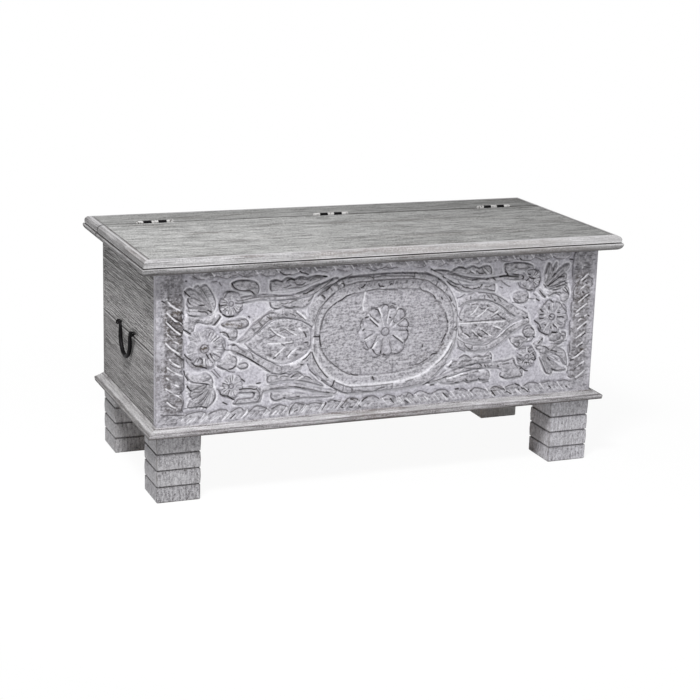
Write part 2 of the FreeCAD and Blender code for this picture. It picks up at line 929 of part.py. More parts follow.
def staples():
    major = staple_hole() + staple_wire
    length = handle_stand() + wall_thickness + staple_wire
    solids = []
    for at in staple_centres():
        ring = Part.makeTorus(major, staple_wire, at, V(0, 1, 0))
        shank = rod(at + V(major, 0, 0), V(1, 0, 0), length - major, staple_shank)
        clinch = rod(at + V(length, 0, -staple_clinch), V(0, 0, 1), 2 * staple_clinch, staple_wire)
        eye = rod(at - V(0, major, 0), V(0, 1, 0), 2 * major, staple_hole())
        solids.append(ring.fuse([shank, clinch]).cut(eye))
    return group(solids)


# Left bail: a forged drop with thinned ends turned out through the staples
def bail():
    centre = handle_centre()
    half_width = staple_spacing / 2 - bail_shoulder
    low = centre.z - bail_bend - bail_straight
    bow_at = V(centre.x, centre.y, low)
    bow = Part.makeTorus(half_width, bail_radius, bow_at, V(1, 0, 0))
    reach = half_width + 2 * bail_radius
    under = box(centre.x - reach, centre.x + reach, centre.y - reach, centre.y + reach, low - reach, low)
    pieces = [bow.common(under)]
    for sign in side_signs:
        foot_of_arm = V(centre.x, centre.y + sign * half_width, low)
        arm = Part.makeCone(bail_radius, bail_neck_radius, bail_straight, foot_of_arm, V(0, 0, 1))
        turn_at = foot_of_arm + V(0, sign * bail_bend, bail_straight)
        elbow = Part.makeTorus(bail_bend, bail_neck_radius, turn_at, V(1, 0, 0))
        ys = sorted((turn_at.y, turn_at.y - sign * 2 * bail_bend))
        corner = box(turn_at.x - bail_bend, turn_at.x + bail_bend, ys[0], ys[1],
                     turn_at.z, turn_at.z + 2 * bail_bend)
        tip_at = turn_at + V(0, 0, bail_bend)
        taper = Part.makeCone(bail_neck_radius, bail_end_radius, bail_taper, tip_at, V(0, sign, 0))
        end_y = bail_shoulder + bail_end_past - bail_bend - bail_taper
        end = rod(tip_at + V(0, sign * bail_taper, 0), V(0, sign, 0), end_y, bail_end_radius)
        pieces += [arm, elbow.common(corner), taper, end]
    return pieces[0].fuse(pieces[1:]).removeSplitter()


# Every piece under its own name
def left_and_right(pattern, left):
    return {pattern % "left": left, pattern % "right": mirrored(left)}


def all_parts():
    parts = {
        "front_panel": front_panel(),
        "base_frame_front": base_front(),
        "base_frame_back": base_back(),
        "floor_bearer": floor_bearer(),
        "floor_nails": floor_nails(),
        "corner_dowels": corner_dowels(),
        "rail_dowels": rail_dowels(),
        "base_screws": base_screws(),
        "foot_screws": foot_screws(),
        "top_back_rail": back_rail(),
        "rail_back_moulding": rail_back_moulding(),
        "lid_front_moulding": lid_front_moulding(),
        "batten_screws": batten_screws(),
        "rail_hinge_screws": leaf_screws(1),
        "lid_hinge_screws": leaf_screws(-1),
    }
    parts |= left_and_right("base_frame_%s", base_left())
    parts |= left_and_right("rail_%s_moulding", rail_side_moulding())
    parts |= left_and_right("lid_%s_moulding", lid_side_moulding())
    parts |= left_and_right("lid_%s_batten", lid_batten())
    parts |= left_and_right("%s_handle_staples", staples())
    parts |= left_and_right("%s_bail", bail())
    for name, low, high in side_board_levels():
        parts |= left_and_right("%s_side_board_" + name, side_board(low, high))
        parts["back_board_" + name] = back_board(low, high)
    for y_name, y_sign in (("front", -1), ("back", 1)):
        for x_name, x_sign in (("left", -1), ("right", 1)):
            parts["foot_" + y_name + "_" + x_name] = foot(x_sign, y_sign)
    for index, name in enumerate(("front", "middle", "back")):
        parts["floor_board_" + name] = floor_board(index)
        parts["lid_board_" + name] = lid_board(index)
    for name, x in zip(("left", "middle", "right"), hinge_centres()):
        parts[name + "_hinge_rail_leaf"] = hinge_leaf(x, 1)
        parts[name + "_hinge_lid_leaf"] = hinge_leaf(x, -1)
        parts[name + "_hinge_pin"] = hinge_pin(x)
    return parts


os.makedirs("parts", exist_ok=True)
for name, shape in all_parts().items():
    shape.exportStep("parts/" + name + ".step")
    print(name, len(shape.Solids), round(shape.Volume), shape.isValid())
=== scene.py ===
import math
import bmesh
import bpy
import numpy as np
from mathutils import Matrix, Vector


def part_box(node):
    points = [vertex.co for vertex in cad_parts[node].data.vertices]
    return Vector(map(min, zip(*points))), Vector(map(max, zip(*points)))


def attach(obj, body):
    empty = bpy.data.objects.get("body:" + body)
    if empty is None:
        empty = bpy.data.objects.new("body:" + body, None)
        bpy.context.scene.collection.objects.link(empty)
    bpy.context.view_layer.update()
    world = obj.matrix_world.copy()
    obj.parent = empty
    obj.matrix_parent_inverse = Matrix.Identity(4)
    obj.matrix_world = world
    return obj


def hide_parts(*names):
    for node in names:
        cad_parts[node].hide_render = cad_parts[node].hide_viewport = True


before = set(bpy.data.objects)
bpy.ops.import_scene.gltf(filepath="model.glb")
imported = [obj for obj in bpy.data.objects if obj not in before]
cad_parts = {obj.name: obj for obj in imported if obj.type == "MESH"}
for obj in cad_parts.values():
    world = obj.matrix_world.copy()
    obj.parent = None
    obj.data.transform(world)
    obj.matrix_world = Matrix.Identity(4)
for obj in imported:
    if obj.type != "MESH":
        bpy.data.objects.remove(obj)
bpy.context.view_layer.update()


# Camera. The chest is seen from its front left, a little above the lid, with a medium long lens,
# and its uprights run almost parallel.
camera_data = bpy.data.cameras.new("camera")
camera_data.sensor_width = 36.0
camera_data.lens = 88.778
camera_object = bpy.data.objects.new("camera", camera_data)
bpy.context.scene.collection.objects.link(camera_object)
camera_right = Vector((0.92795147, -0.37157884, 0.02890052))
camera_up = Vector((0.07096518, 0.25228194, 0.96504806))
camera_back = Vector((-0.36588252, -0.89346684, 0.26047456))
turn = Matrix((camera_right, camera_up, camera_back)).transposed().to_4x4()
camera_object.matrix_world = Matrix.Translation((-1.4324, -3.5090, 1.2629)) @ turn
bpy.context.scene.camera = camera_object


# Front board. One wide plank of mango wood, carved by hand with flowers and leaves round an oval
# medallion between rope borders. The ground is cut down about 5 mm and holds the whitewash, and
# the tops are rubbed back to grey wood. Sizes and outlines here are in millimetres, x and z.
front_low, front_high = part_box("front_panel")
field_side, field_foot, field_head = 501, 168, 500
side_border, foot_border = 50, 26
board_side = 510
medallion_centre, rosette_centre = (0, 337), (-2, 337)
ground_depth = 4.8
lowest_cut = ground_depth + 1.2
top_level, wall_slope = 0.5, 2.4
edge_stain_wide = 1.6
curve_steps = 5


def curve_through(points, closed=True):
    """A smooth line through the points. A third value of 1 keeps a point sharp."""
    table = np.array([(*point, 0)[:3] for point in points], float)
    spots, sharp = table[:, :2], table[:, 2:] > 0
    if closed:
        before, after = np.roll(spots, 1, 0), np.roll(spots, -1, 0)
    else:
        before = np.vstack([spots[:1], spots[:-1]])
        after = np.vstack([spots[1:], spots[-1:]])
    through = (after - before) / 2
    leave = np.where(sharp, after - spots, through)
    arrive = np.where(sharp, spots - before, through)
    start, end = spots, np.roll(spots, -1, 0)
    arrive = np.roll(arrive, -1, 0)
    if not closed:
        start, end, leave, arrive = start[:-1], end[:-1], leave[:-1], arrive[:-1]
    t = np.linspace(0, 1, curve_steps, endpoint=False)[:, None, None]
    line = ((2 * t**3 - 3 * t**2 + 1) * start + (t**3 - 2 * t**2 + t) * leave
            + (3 * t**2 - 2 * t**3) * end + (t**3 - t**2) * arrive)
    line = line.transpose(1, 0, 2).reshape(-1, 2)
    return line if closed else np.vstack([line, spots[-1:]])


def spoke(x, z, turned, reaches):
    """Points at some distances from a centre, all in one direction."""
    return [(x + far * np.cos(turned), z + far * np.sin(turned)) for far in reaches]


def held(value, low=0.0):
    """A value kept between a low end and 1."""
    return np.clip(value, low, 1)


def eased(share):
    """A share kept between 0 and 1, with soft ends."""
    share = held(share)
    return share * share * (3 - 2 * share)


def hill(away, wide):
    """1 in the middle, fading to nothing about two widths away."""
    return np.exp(-(away / wide)**2)


def speckle(x, z, size, seed):
    """Soft random hills about one size apart, from -1 to 1."""
    cells = 64
    grid = np.random.default_rng(seed).uniform(-1, 1, (cells, cells))
    u, v = x / size + 900.37, z / size + 700.61
    i, j = np.floor(u).astype(int), np.floor(v).astype(int)
    a, b = eased(u - i), eased(v - j)
    i, j, next_i, next_j = i % cells, j % cells, (i + 1) % cells, (j + 1) % cells
    low = grid[i, j] * (1 - a) + grid[next_i, j] * a
    high = grid[i, next_j] * (1 - a) + grid[next_i, next_j] * a
    return low * (1 - b) + high * b


class Relief:
    """The carver's surface at the points x, z: how deep it is cut, and how it is finished.

    Rubbed is how far a top is rubbed back, shade how much dark stain lies there and, below the top
    border, painted shadow of the lid, the white layer how much whitewash, and on the bevels that
    face the light and on the tops' arrises painted highlight, and brown how bare the wood is.
    Stroke is how heavy the stain lies along edges."""

    def __init__(self, x, z):
        self.x, self.z = x, z
        self.depth = np.full(x.shape, ground_depth)
        self.rubbed = np.zeros(x.shape)
        self.shade = np.zeros(x.shape)
        self.whitewash_and_highlight = np.zeros(x.shape)
        self.brown = np.zeros(x.shape)
        self.stroke = 0.38 + 0.34 * np.clip(1.8 * speckle(x, z, 13, 7), -1, 1)

    def near(self, line, closed, pad):
        """Points within pad of the line, and how far inside it they are."""
        low, high = line.min(0) - pad, line.max(0) + pad
        pick = np.nonzero((self.x > low[0]) & (self.x < high[0])
                          & (self.z > low[1]) & (self.z < high[1]))[0]
        px, pz = self.x[pick], self.z[pick]
        best, inside = np.full(px.shape, 1e9), np.zeros(px.shape, bool)
        ends = np.roll(line, -1, 0) if closed else line[1:]
        for (ax, az), (bx, bz) in zip(line, ends):
            ux, uz = bx - ax, bz - az
            along = ((px - ax) * ux + (pz - az) * uz) / max(ux * ux + uz * uz, 1e-9)
            along = held(along)
            best = np.minimum(best, (px - ax - along * ux)**2 + (pz - az - along * uz)**2)
            if closed and az != bz:
                inside ^= ((az > pz) != (bz > pz)) & (px < ax + (pz - az) * ux / uz)
        distance = np.sqrt(best)
        return pick, np.where(inside, distance, -distance) if closed else distance

    def moat(self, pick, inside, deep):
        """The knife's deeper cut in the ground along the foot of a raised shape."""
        self.depth[pick] = np.minimum(self.depth[pick] + deep * hill(inside + 1.6, 1.3),
                                      ground_depth + 0.5)

    def cover(self, pick, rise, depth, rubbed, shade, whitewash_and_highlight):
        """A new surface in place of the old one, by the share rise."""
        self.depth[pick] = self.depth[pick] * (1 - rise) + depth * rise
        self.rubbed[pick] = self.rubbed[pick] * (1 - rise) + rubbed * rise
        self.shade[pick] = np.maximum(self.shade[pick] * (1 - rise), shade)
        self.whitewash_and_highlight[pick] = np.maximum(self.whitewash_and_highlight[pick] * (1 - rise), whitewash_and_highlight)

    def lift(self, points, top, droop):
        """A raised shape: a wall up from the ground and a top that rounds off to its edge."""
        pick, inside = self.near(curve_through(points), True, 5)
        rise = eased(inside / 2.1 + 0.5)
        # A white line at the wall's foot is whitewash gathered there; the fainter one just inside
        # the edge is whitewash left on the top's arris and painted highlight.
        foot_paint_and_arris_highlight = 0.9 * hill(inside + 4.0, 1.6) * (self.depth[pick] > ground_depth - 1)
        foot_paint_and_arris_highlight += 0.35 * hill(inside - 2.6, 1.2)
        self.moat(pick, inside, 1.8)
        self.cover(pick, rise, top + droop * np.exp(-np.maximum(inside, 0) / 3), 1.0,
                   hill(inside + 0.7, edge_stain_wide) * self.stroke[pick], foot_paint_and_arris_highlight)

    def sink(self, points, to, wall, shade):
        """A lowered panel inside an outline."""
        pick, inside = self.near(curve_through(points), True, 5)
        rise = eased(inside / wall + 0.5)
        self.depth[pick] = self.depth[pick] * (1 - rise) + to * rise
        self.shade[pick] = np.maximum(self.shade[pick] * (1 - rise),
                                      shade * hill(inside - 0.6, 1.1))
        self.rubbed[pick] = np.maximum(self.rubbed[pick], rise)

    def score(self, points, deep, wide, white=0.0, dark=0.0):
        """A cut line, with whitewash or the dark stain left in it."""
        line = curve_through(np.reshape(points, (-1, 2)), closed=False)
        pick, away = self.near(line, False, 4 * wide)
        cut = hill(away, wide)
        self.depth[pick] = np.minimum(self.depth[pick] + deep * cut, lowest_cut)
        self.whitewash_and_highlight[pick] = np.maximum(self.whitewash_and_highlight[pick] * (1 - min(dark, 1) * cut), white * cut)
        self.shade[pick] = np.maximum(self.shade[pick] * (1 - white * cut), dark * cut)

    def flower(self, x, z, reach, parts, hub, dish, notch, rays=0):
        """An open flower: petals between the angles in parts, dished, round a hub.

        Dish is how deep a petal is hollowed, notch how far the rim dips between two petals, and
        rays half the number of fine cuts that run outwards over them."""
        dx, dz = self.x - x, self.z - z
        pick = np.nonzero(dx * dx + dz * dz < (reach * 1.2 + 5)**2)[0]
        r = np.hypot(dx[pick], dz[pick])
        angle = np.degrees(np.arctan2(dz[pick], dx[pick]))
        cuts = np.sort(np.array(parts, float))
        wrapped = np.concatenate([cuts - 360, cuts, cuts + 360])
        right = np.searchsorted(wrapped, angle).clip(1, len(wrapped) - 1)
        span = wrapped[right] - wrapped[right - 1]
        share = (angle - wrapped[right - 1]) / span
        middle = np.sin(np.pi * share)
        sizes = 1 + 0.07 * np.sin(np.arange(len(cuts) + 2) * 2.4)
        petal = sizes[(right - 1) % len(cuts)]
        rim = reach * petal * (1 - notch + notch * middle**0.55)
        inside = rim - r
        rise = eased(inside / wall_slope + 0.5)
        gap = np.radians(np.minimum(share, 1 - share) * span) * r
        groove = hill(gap, 1.2) * (r > hub * 1.9) * (inside > -1)
        hollow = dish * hill(r - 0.66 * rim, 0.2 * reach) * middle
        level = top_level + 0.8 * np.exp(-np.maximum(inside, 0) / 3) + 1.7 * groove + hollow
        ray = np.cos(np.radians(angle * rays))**16 * (r > hub * 2) * (inside > 2.5) * (rays > 0)
        ring = hill(r - hub, 1.3)
        edge = hill(inside + 0.7, edge_stain_wide) * self.stroke[pick]
        stain = np.maximum.reduce([edge, 0.7 * ring, 0.4 * groove, 0.45 * ray * rise])
        self.moat(pick, inside, 1.6)
        self.cover(pick, rise, level, 0.6, stain, 0.8 * groove)
        self.depth[pick] = self.depth[pick] + 0.6 * ray + 1.3 * ring - 0.3 * (r < hub - 1)

    def rope(self, along, across, notches, wide, lean, cuts, bulge):
        """A border of overlapping leaves: scalloped on its inner edge, with slanted cuts.

        The leaves meet at the notches, lean is how far their cuts slant, cuts how many each leaf
        has, and bulge how far its edge bows out."""
        marks = np.sort(np.array(notches, float))
        right = np.searchsorted(marks, along).clip(1, len(marks) - 1)
        left_mark, right_mark = marks[right - 1], marks[right]
        middle = held((along - left_mark) / (right_mark - left_mark))
        bow = np.sqrt(held(1 - (2 * middle - 1)**2))
        inside = wide * (1 - bulge + bulge * bow) - across
        within = (along > marks[0]) & (along < marks[-1])
        rise = eased((inside / wall_slope + 0.5) * within)
        depth = top_level + 1.1 * np.exp(-np.maximum(inside, 0) / 4)
        down = np.maximum(wide - across, 0)
        slant = along - lean * (down - 0.25 * down * across / wide)
        whitewash_and_highlight = np.zeros(along.shape)
        for mark, following in zip(marks[:-1], marks[1:]):
            for n in range(cuts):
                place = mark + (following - mark) * n / cuts
                reach, strength = (1.0, 1.0) if n == 0 else (0.6, 0.8)
                fade = held((wide * reach - across) / 3) * held((across - wide * 0.1) / 4)
                whitewash_and_highlight = np.maximum(whitewash_and_highlight, hill(slant - place, 1.5) * fade * strength)
        depth = depth + 1.9 * whitewash_and_highlight + 1.2 * (1 - bow) * np.exp(-np.maximum(inside, 0) / 5)
        edge = hill(inside + 0.7, edge_stain_wide) * self.stroke * within
        self.cover(slice(None), rise, depth, 1.0, edge, whitewash_and_highlight * rise)


# Where the leaves of the rope borders meet: heights on both sides, places along the foot.
left_notches = (150, 195, 238, 283, 320, 358, 402, 446, 490)
right_notches = (152, 195, 240, 286, 332, 378, 415, 455, 492)
foot_notches = (-458, -402, -350, -308, -262, -219, -178, -136, -95, -54, -8, 31, 73, 116, 158,
                201, 244, 287, 332, 379, 423, 462)

# The oval medallion from its rim inwards, and the short cuts across its step.
medallion_rim = [
    (-170, 337), (-174, 368), (-178, 397), (-163, 420), (-142, 440), (-112, 456), (-75, 462),
    (0, 464), (60, 462), (102, 455), (132, 438), (152, 414), (164, 388), (168, 360), (168, 330),
    (166, 305), (157, 283), (144, 260), (126, 237), (102, 219), (60, 209), (0, 206), (-50, 205),
    (-92, 208), (-118, 222), (-145, 243), (-165, 263), (-179, 284), (-173, 305)]
medallion_step = [
    (-164, 337), (-162, 370), (-149, 400), (-130, 424), (-100, 441), (-60, 450), (0, 453),
    (60, 450), (98, 440), (125, 422), (146, 398), (157, 372), (160, 345), (158, 318), (149, 290),
    (130, 264), (100, 241), (60, 226), (0, 220), (-60, 220), (-90, 226), (-120, 241), (-144, 262),
    (-158, 284), (-164, 308)]
medallion_field = [
    (-152, 335), (-150, 362), (-138, 390), (-112, 410), (-80, 424), (-20, 431), (40, 430),
    (80, 425), (112, 405), (132, 380), (145, 350), (145, 325), (135, 295), (112, 268), (75, 252),
    (20, 243), (-50, 243), (-85, 250), (-115, 267), (-138, 289), (-150, 312)]
medallion_ticks = [
    (-152, 427, -142, 415), (-119, 452, -109, 439), (-104, 456, -99, 442), (-165, 337, -153, 337),
    (-33, 462, -33, 452), (62, 461, 60, 451), (-119, 240, -119, 224), (-94, 226, -97, 212),
    (-72, 221, -76, 208), (20, 219, 18, 208), (119, 448, 114, 430), (142, 427, 134, 412)]

# The long leaves from the medallion to the two big flowers: their bands, the blades between
# them, and the short cuts across the bands.
left_leaf_over = [(-336, 337, 1), (-310, 345), (-290, 357), (-262, 378), (-240, 384), (-200, 378),
                  (-171, 360, 1), (-166, 366, 1), (-190, 390), (-220, 401), (-255, 401),
                  (-274, 391), (-300, 372), (-318, 352)]
left_leaf_under = [(-347, 333, 1), (-330, 325), (-300, 308), (-262, 286), (-230, 279), (-200, 288),
                   (-172, 305, 1), (-176, 292), (-200, 270), (-232, 262), (-262, 267), (-300, 294),
                   (-347, 317, 1)]
left_leaf_blade = [(-318, 332, 1), (-295, 348), (-262, 373), (-238, 380), (-202, 374), (-176, 356),
                   (-172, 332), (-177, 309), (-202, 292), (-230, 284), (-260, 290), (-296, 311)]
right_leaf_over = [(172, 381, 1), (200, 393), (230, 394), (256, 387), (280, 371), (305, 353),
                   (343, 346, 1), (341, 353, 1), (300, 377), (270, 396), (250, 405), (215, 409),
                   (176, 400, 1)]
right_leaf_under = [(170, 309, 1), (186, 301), (206, 293), (235, 290), (262, 300), (285, 318),
                    (305, 332), (345, 344, 1), (346, 334, 1), (318, 323), (286, 300), (264, 285),
                    (240, 278), (205, 279), (176, 290, 1)]
right_leaf_blade = [(172, 345), (182, 378), (205, 388), (230, 389), (254, 382), (278, 367),
                    (306, 348), (326, 344, 1), (304, 336), (282, 321), (260, 305), (235, 295),
                    (208, 298), (184, 307), (173, 322)]
leaf_ticks = [
    (-270, 393, -259, 379), (-291, 377, -281, 364), (-304, 366, -295, 353), (-238, 401, -236, 385),
    (-212, 400, -214, 382), (-190, 389, -196, 377), (-330, 325, -334, 312), (-312, 315, -318, 304),
    (-296, 306, -302, 293), (-275, 293, -283, 282), (-252, 283, -258, 268), (-236, 279, -238, 262),
    (236, 408, 232, 394), (262, 399, 252, 389), (282, 388, 270, 378), (302, 373, 292, 362),
    (208, 293, 206, 280), (190, 299, 184, 288), (262, 299, 268, 288), (278, 310, 286, 300),
    (292, 322, 301, 312)]

# The fans of leaves in the corners, the petals and buds round the flowers, the long stems
# above and below the medallion, and the tufts of leaves along them.
left_fan_over = [
    [(-388, 404, 1), (-398, 425), (-416, 452), (-407, 463), (-396, 452), (-384, 426)],
    [(-388, 404, 1), (-406, 426), (-428, 452), (-422, 462), (-411, 450), (-396, 424)],
    [(-388, 404, 1), (-412, 420), (-446, 440), (-444, 455), (-428, 452), (-404, 428)],
    [(-388, 402, 1), (-414, 408), (-442, 419), (-441, 434), (-430, 436), (-404, 421)],
    [(-388, 401, 1), (-416, 399), (-441, 402), (-441, 414), (-418, 413)],
    [(-386, 399, 1), (-404, 392), (-425, 396), (-444, 399), (-452, 389), (-450, 372), (-436, 361),
     (-430, 372), (-428, 382), (-417, 388), (-402, 381), (-387, 385)]]
left_fan_under = [
    [(-388, 246, 1), (-404, 253), (-428, 256), (-441, 266), (-441, 276), (-420, 272), (-402, 274),
     (-390, 262)],
    [(-388, 246, 1), (-406, 240), (-432, 238), (-441, 247), (-439, 256), (-420, 254)],
    [(-388, 246, 1), (-402, 233), (-424, 222), (-436, 226), (-437, 238), (-414, 240)],
    [(-388, 246, 1), (-392, 225), (-412, 208), (-440, 204), (-432, 219), (-404, 234)],
    [(-387, 243, 1), (-382, 222), (-391, 208), (-400, 202), (-412, 205), (-398, 222)]]
right_fan_over = [
    [(382, 412, 1), (380, 440), (388, 466), (397, 452), (394, 430)],
    [(382, 412, 1), (391, 437), (402, 455), (408, 466), (404, 444), (394, 424)],
    [(382, 412, 1), (402, 436), (424, 458), (438, 462), (437, 452), (408, 426)],
    [(382, 411, 1), (406, 424), (430, 440), (434, 430), (428, 424), (404, 414)],
    [(382, 410, 1), (406, 413), (432, 422), (436, 412), (410, 405)],
    [(384, 397, 1), (398, 401), (416, 405), (434, 411), (443, 398), (438, 380), (426, 378),
     (421, 390), (408, 397), (392, 392)]]
right_fan_under = [
    [(377, 262, 1), (390, 252), (408, 228), (412, 214), (399, 212), (386, 232)],
    [(377, 264, 1), (398, 252), (430, 226), (446, 217), (414, 218), (396, 238)],
    [(378, 266, 1), (404, 262), (430, 248), (446, 228), (447, 240), (438, 262), (408, 272)],
    [(366, 276, 1), (381, 276), (399, 270), (415, 286), (430, 305), (441, 302), (436, 286),
     (418, 276), (400, 263), (380, 262)]]
petals_and_buds = [
    [(-348, 461), (-340, 450), (-322, 445), (-304, 442), (-297, 432, 1), (-290, 446), (-294, 460),
     (-310, 466), (-334, 467)],
    [(-369, 376), (-350, 383), (-326, 386), (-312, 378), (-320, 368), (-346, 368)],
    [(-366, 358), (-352, 363), (-338, 358), (-337, 347), (-348, 342), (-356, 351)],
    [(-380, 291), (-364, 301), (-354, 312), (-340, 306), (-336, 294), (-344, 283), (-362, 281)],
    [(-335, 285), (-323, 291), (-311, 285), (-323, 279)],
    [(-392, 381, 1), (-384, 378), (-372, 393, 1), (-378, 397)],
    [(282, 470), (281, 456), (289, 443, 1), (297, 450), (318, 456), (344, 452), (348, 462),
     (322, 470)],
    [(303, 397), (316, 404), (336, 403), (341, 392), (334, 382), (314, 381)],
    [(364, 404, 1), (370, 407), (386, 392, 1), (381, 389)],
    [(301, 301), (316, 303), (336, 302), (345, 296), (332, 287), (325, 279), (316, 280),
     (308, 291)],
    [(333, 315), (342, 325), (352, 324), (362, 308), (352, 301), (338, 304)],
    [(362, 283, 1), (378, 297, 1), (384, 292), (372, 278)],
    [(400, 306), (424, 303), (436, 290), (424, 285), (404, 288)]]
stems = [
    [(-344, 428), (-300, 434), (-270, 434), (-240, 430), (-210, 431), (-180, 438), (-150, 450),
     (-118, 461), (-114, 456), (-140, 444), (-170, 431), (-198, 424), (-240, 422), (-290, 425),
     (-340, 419)],
    [(-328, 237), (-293, 236), (-284, 228), (-280, 237), (-250, 237), (-218, 238), (-180, 231),
     (-140, 219), (-112, 214), (-116, 208), (-145, 211), (-180, 221), (-215, 229), (-250, 227),
     (-277, 225), (-283, 206), (-300, 203), (-341, 203), (-325, 214), (-305, 213), (-297, 218),
     (-298, 226), (-328, 227)],
    [(110, 464), (140, 462), (170, 451), (205, 442), (250, 440), (290, 444), (322, 442),
     (326, 436), (310, 433), (285, 436), (250, 431), (205, 432), (170, 441), (140, 452)],
    [(104, 213), (135, 226), (180, 240), (215, 246), (256, 247), (300, 250), (313, 252),
     (319, 238), (334, 228), (336, 216), (330, 209), (302, 208), (284, 213), (281, 232),
     (250, 237), (215, 236), (180, 229), (140, 217)]]
tufts = [
    [(-264, 462, 1), (-252, 464), (-241, 460, 1), (-226, 467), (-210, 463, 1), (-196, 468),
     (-182, 464, 1), (-164, 468), (-138, 465, 1), (-165, 456), (-190, 447), (-230, 444),
     (-263, 443, 1)],
    [(-266, 419, 1), (-230, 419), (-190, 421), (-168, 428, 1), (-178, 410), (-190, 403),
     (-206, 404, 1), (-222, 403), (-238, 409, 1), (-250, 403), (-262, 410)],
    [(-268, 260, 1), (-256, 262), (-243, 257, 1), (-228, 260), (-218, 255, 1), (-202, 262),
     (-190, 256, 1), (-174, 254), (-158, 240), (-140, 226, 1), (-175, 238), (-215, 246),
     (-266, 243, 1)],
    [(-258, 220, 1), (-225, 220), (-190, 214), (-150, 206), (-120, 202, 1), (-160, 203),
     (-188, 205, 1), (-210, 203), (-230, 207, 1), (-244, 203), (-257, 206)],
    [(150, 459), (168, 468), (186, 464, 1), (200, 469), (216, 463, 1), (232, 468), (244, 464),
     (247, 450, 1), (224, 449), (196, 451), (170, 456)],
    [(140, 444), (160, 432), (200, 426), (238, 427), (257, 424, 1), (257, 411, 1), (240, 414),
     (222, 418, 1), (206, 414), (186, 414), (164, 420)],
    [(150, 246), (156, 258), (174, 257, 1), (190, 268), (206, 261, 1), (222, 266), (238, 261, 1),
     (250, 270), (258, 262), (257, 251, 1), (215, 250), (180, 244)],
    [(128, 214), (165, 224), (200, 232), (240, 233), (253, 224), (252, 209, 1), (236, 207),
     (226, 213, 1), (206, 206), (190, 212, 1), (170, 207)]]

# Every cut line of the knife, as x, z, x, z and so on: those with whitewash left in them, the broad
# bevels that face the light, drawn bright with no cut as painted highlight, those black with stain,
# and the fainter dark ones.
white_cuts = [
    (-488, 438, -478, 424, -458, 412), (-487, 409, -478, 400, -470, 392, -457, 385),
    (-489, 390, -480, 381, -470, 371, -460, 363), (-487, 365, -475, 352, -463, 343),
    (-490, 346, -480, 335, -468, 326, -460, 320), (-482, 311, -468, 298, -459, 293),
    (-487, 294, -474, 283, -455, 274), (-488, 272, -476, 260, -463, 252),
    (-490, 249, -478, 240, -463, 231, -451, 222), (-487, 220, -478, 211, -466, 203),
    (471, 451, 477, 457), (470, 422, 478, 429, 487, 436), (471, 403, 481, 411),
    (467, 373, 476, 379, 489, 389), (464, 351, 476, 360, 488, 368), (462, 343, 470, 347),
    (470, 330, 480, 337, 490, 342), (469, 311, 480, 319, 492, 327), (467, 290, 478, 297, 488, 304),
    (470, 270, 484, 279), (461, 242, 474, 249, 487, 259), (471, 220, 480, 227, 491, 234),
    (473, 198, 484, 204, 493, 212), (-262, 362, -255, 354, -247, 348, -232, 340),
    (-230, 361, -221, 352, -205, 344), (-200, 358, -189, 348), (-205, 395, -195, 388, -185, 378),
    (-252, 301, -241, 310, -232, 318), (-223, 297, -216, 306, -206, 313),
    (-268, 329, -240, 328, -215, 329), (201, 361, 209, 367, 217, 378),
    (213, 354, 228, 362, 243, 375), (252, 355, 260, 359, 267, 366),
    (175, 343, 200, 342, 230, 342, 260, 341, 285, 341), (206, 326, 214, 317, 228, 306),
    (226, 328, 238, 320, 252, 310), (182, 320, 190, 316, 198, 310), (258, 332, 268, 329, 278, 323),
    (-166, 335, -166, 322), (-15, 433, -7, 433), (-115, 444, -109, 450, -103, 444),
    (-50, 428, -52, 415, -55, 400, -53, 388), (-42, 377, -30, 363, -18, 353),
    (-18, 390, -14, 380, -10, 372), (27, 388, 21, 374, 15, 362), (-49, 321, -40, 325, -30, 327),
    (-30, 302, -24, 310, -20, 318), (20, 351, 30, 356, 45, 366), (20, 328, 32, 320, 42, 312),
    (-206, 243, -198, 247, -190, 252), (230, 460, 238, 452), (198, 459, 206, 455),
    (150, 250, 160, 259), (150, 220, 170, 224, 188, 229), (113, 211, 130, 213),
    (97, 213, 107, 218), (227, 232, 245, 234), (429, 407, 434, 402), (410, 327, 420, 316),
    (303, 298, 308, 290), (355, 384, 360, 383), (-443, 171, -428, 181), (-415, 171, -400, 182),
    (-393, 171, -374, 181), (-368, 170, -350, 185), (-345, 173, -338, 180), (-325, 172, -312, 184),
    (-272, 173, -264, 180), (-255, 173, -248, 180), (-247, 174, -240, 181),
    (-222, 168, -220, 176, -214, 186), (-214, 172, -200, 182), (-190, 172, -178, 185),
    (-165, 175, -160, 180), (-149, 171, -143, 178, -137, 188), (-62, 176, -54, 185),
    (36, 180, 44, 173), (53, 183, 65, 172), (97, 184, 104, 177), (139, 186, 152, 171),
    (188, 182, 195, 175), (256, 180, 268, 168), (300, 180, 314, 171), (320, 182, 335, 170),
    (341, 185, 350, 178), (452, 199, 458, 195)]
painted_highlit_bevels = [
    (-268, 297, -255, 290, -240, 284, -220, 282, -205, 283, -192, 290, -180, 299, -172, 305),
    (170, 312, 180, 304, 192, 298, 212, 293, 238, 292, 254, 298, 268, 306, 282, 319, 296, 330, 310,
     337),
    (-166, 302, -158, 286, -149, 270, -138, 257, -127, 246, -115, 238, -100, 230, -85, 224, -68,
     222),
    (-68, 222, -30, 222, 10, 222, 50, 226, 80, 233, 100, 242, 120, 257, 135, 270, 148, 288, 157,
     306)]
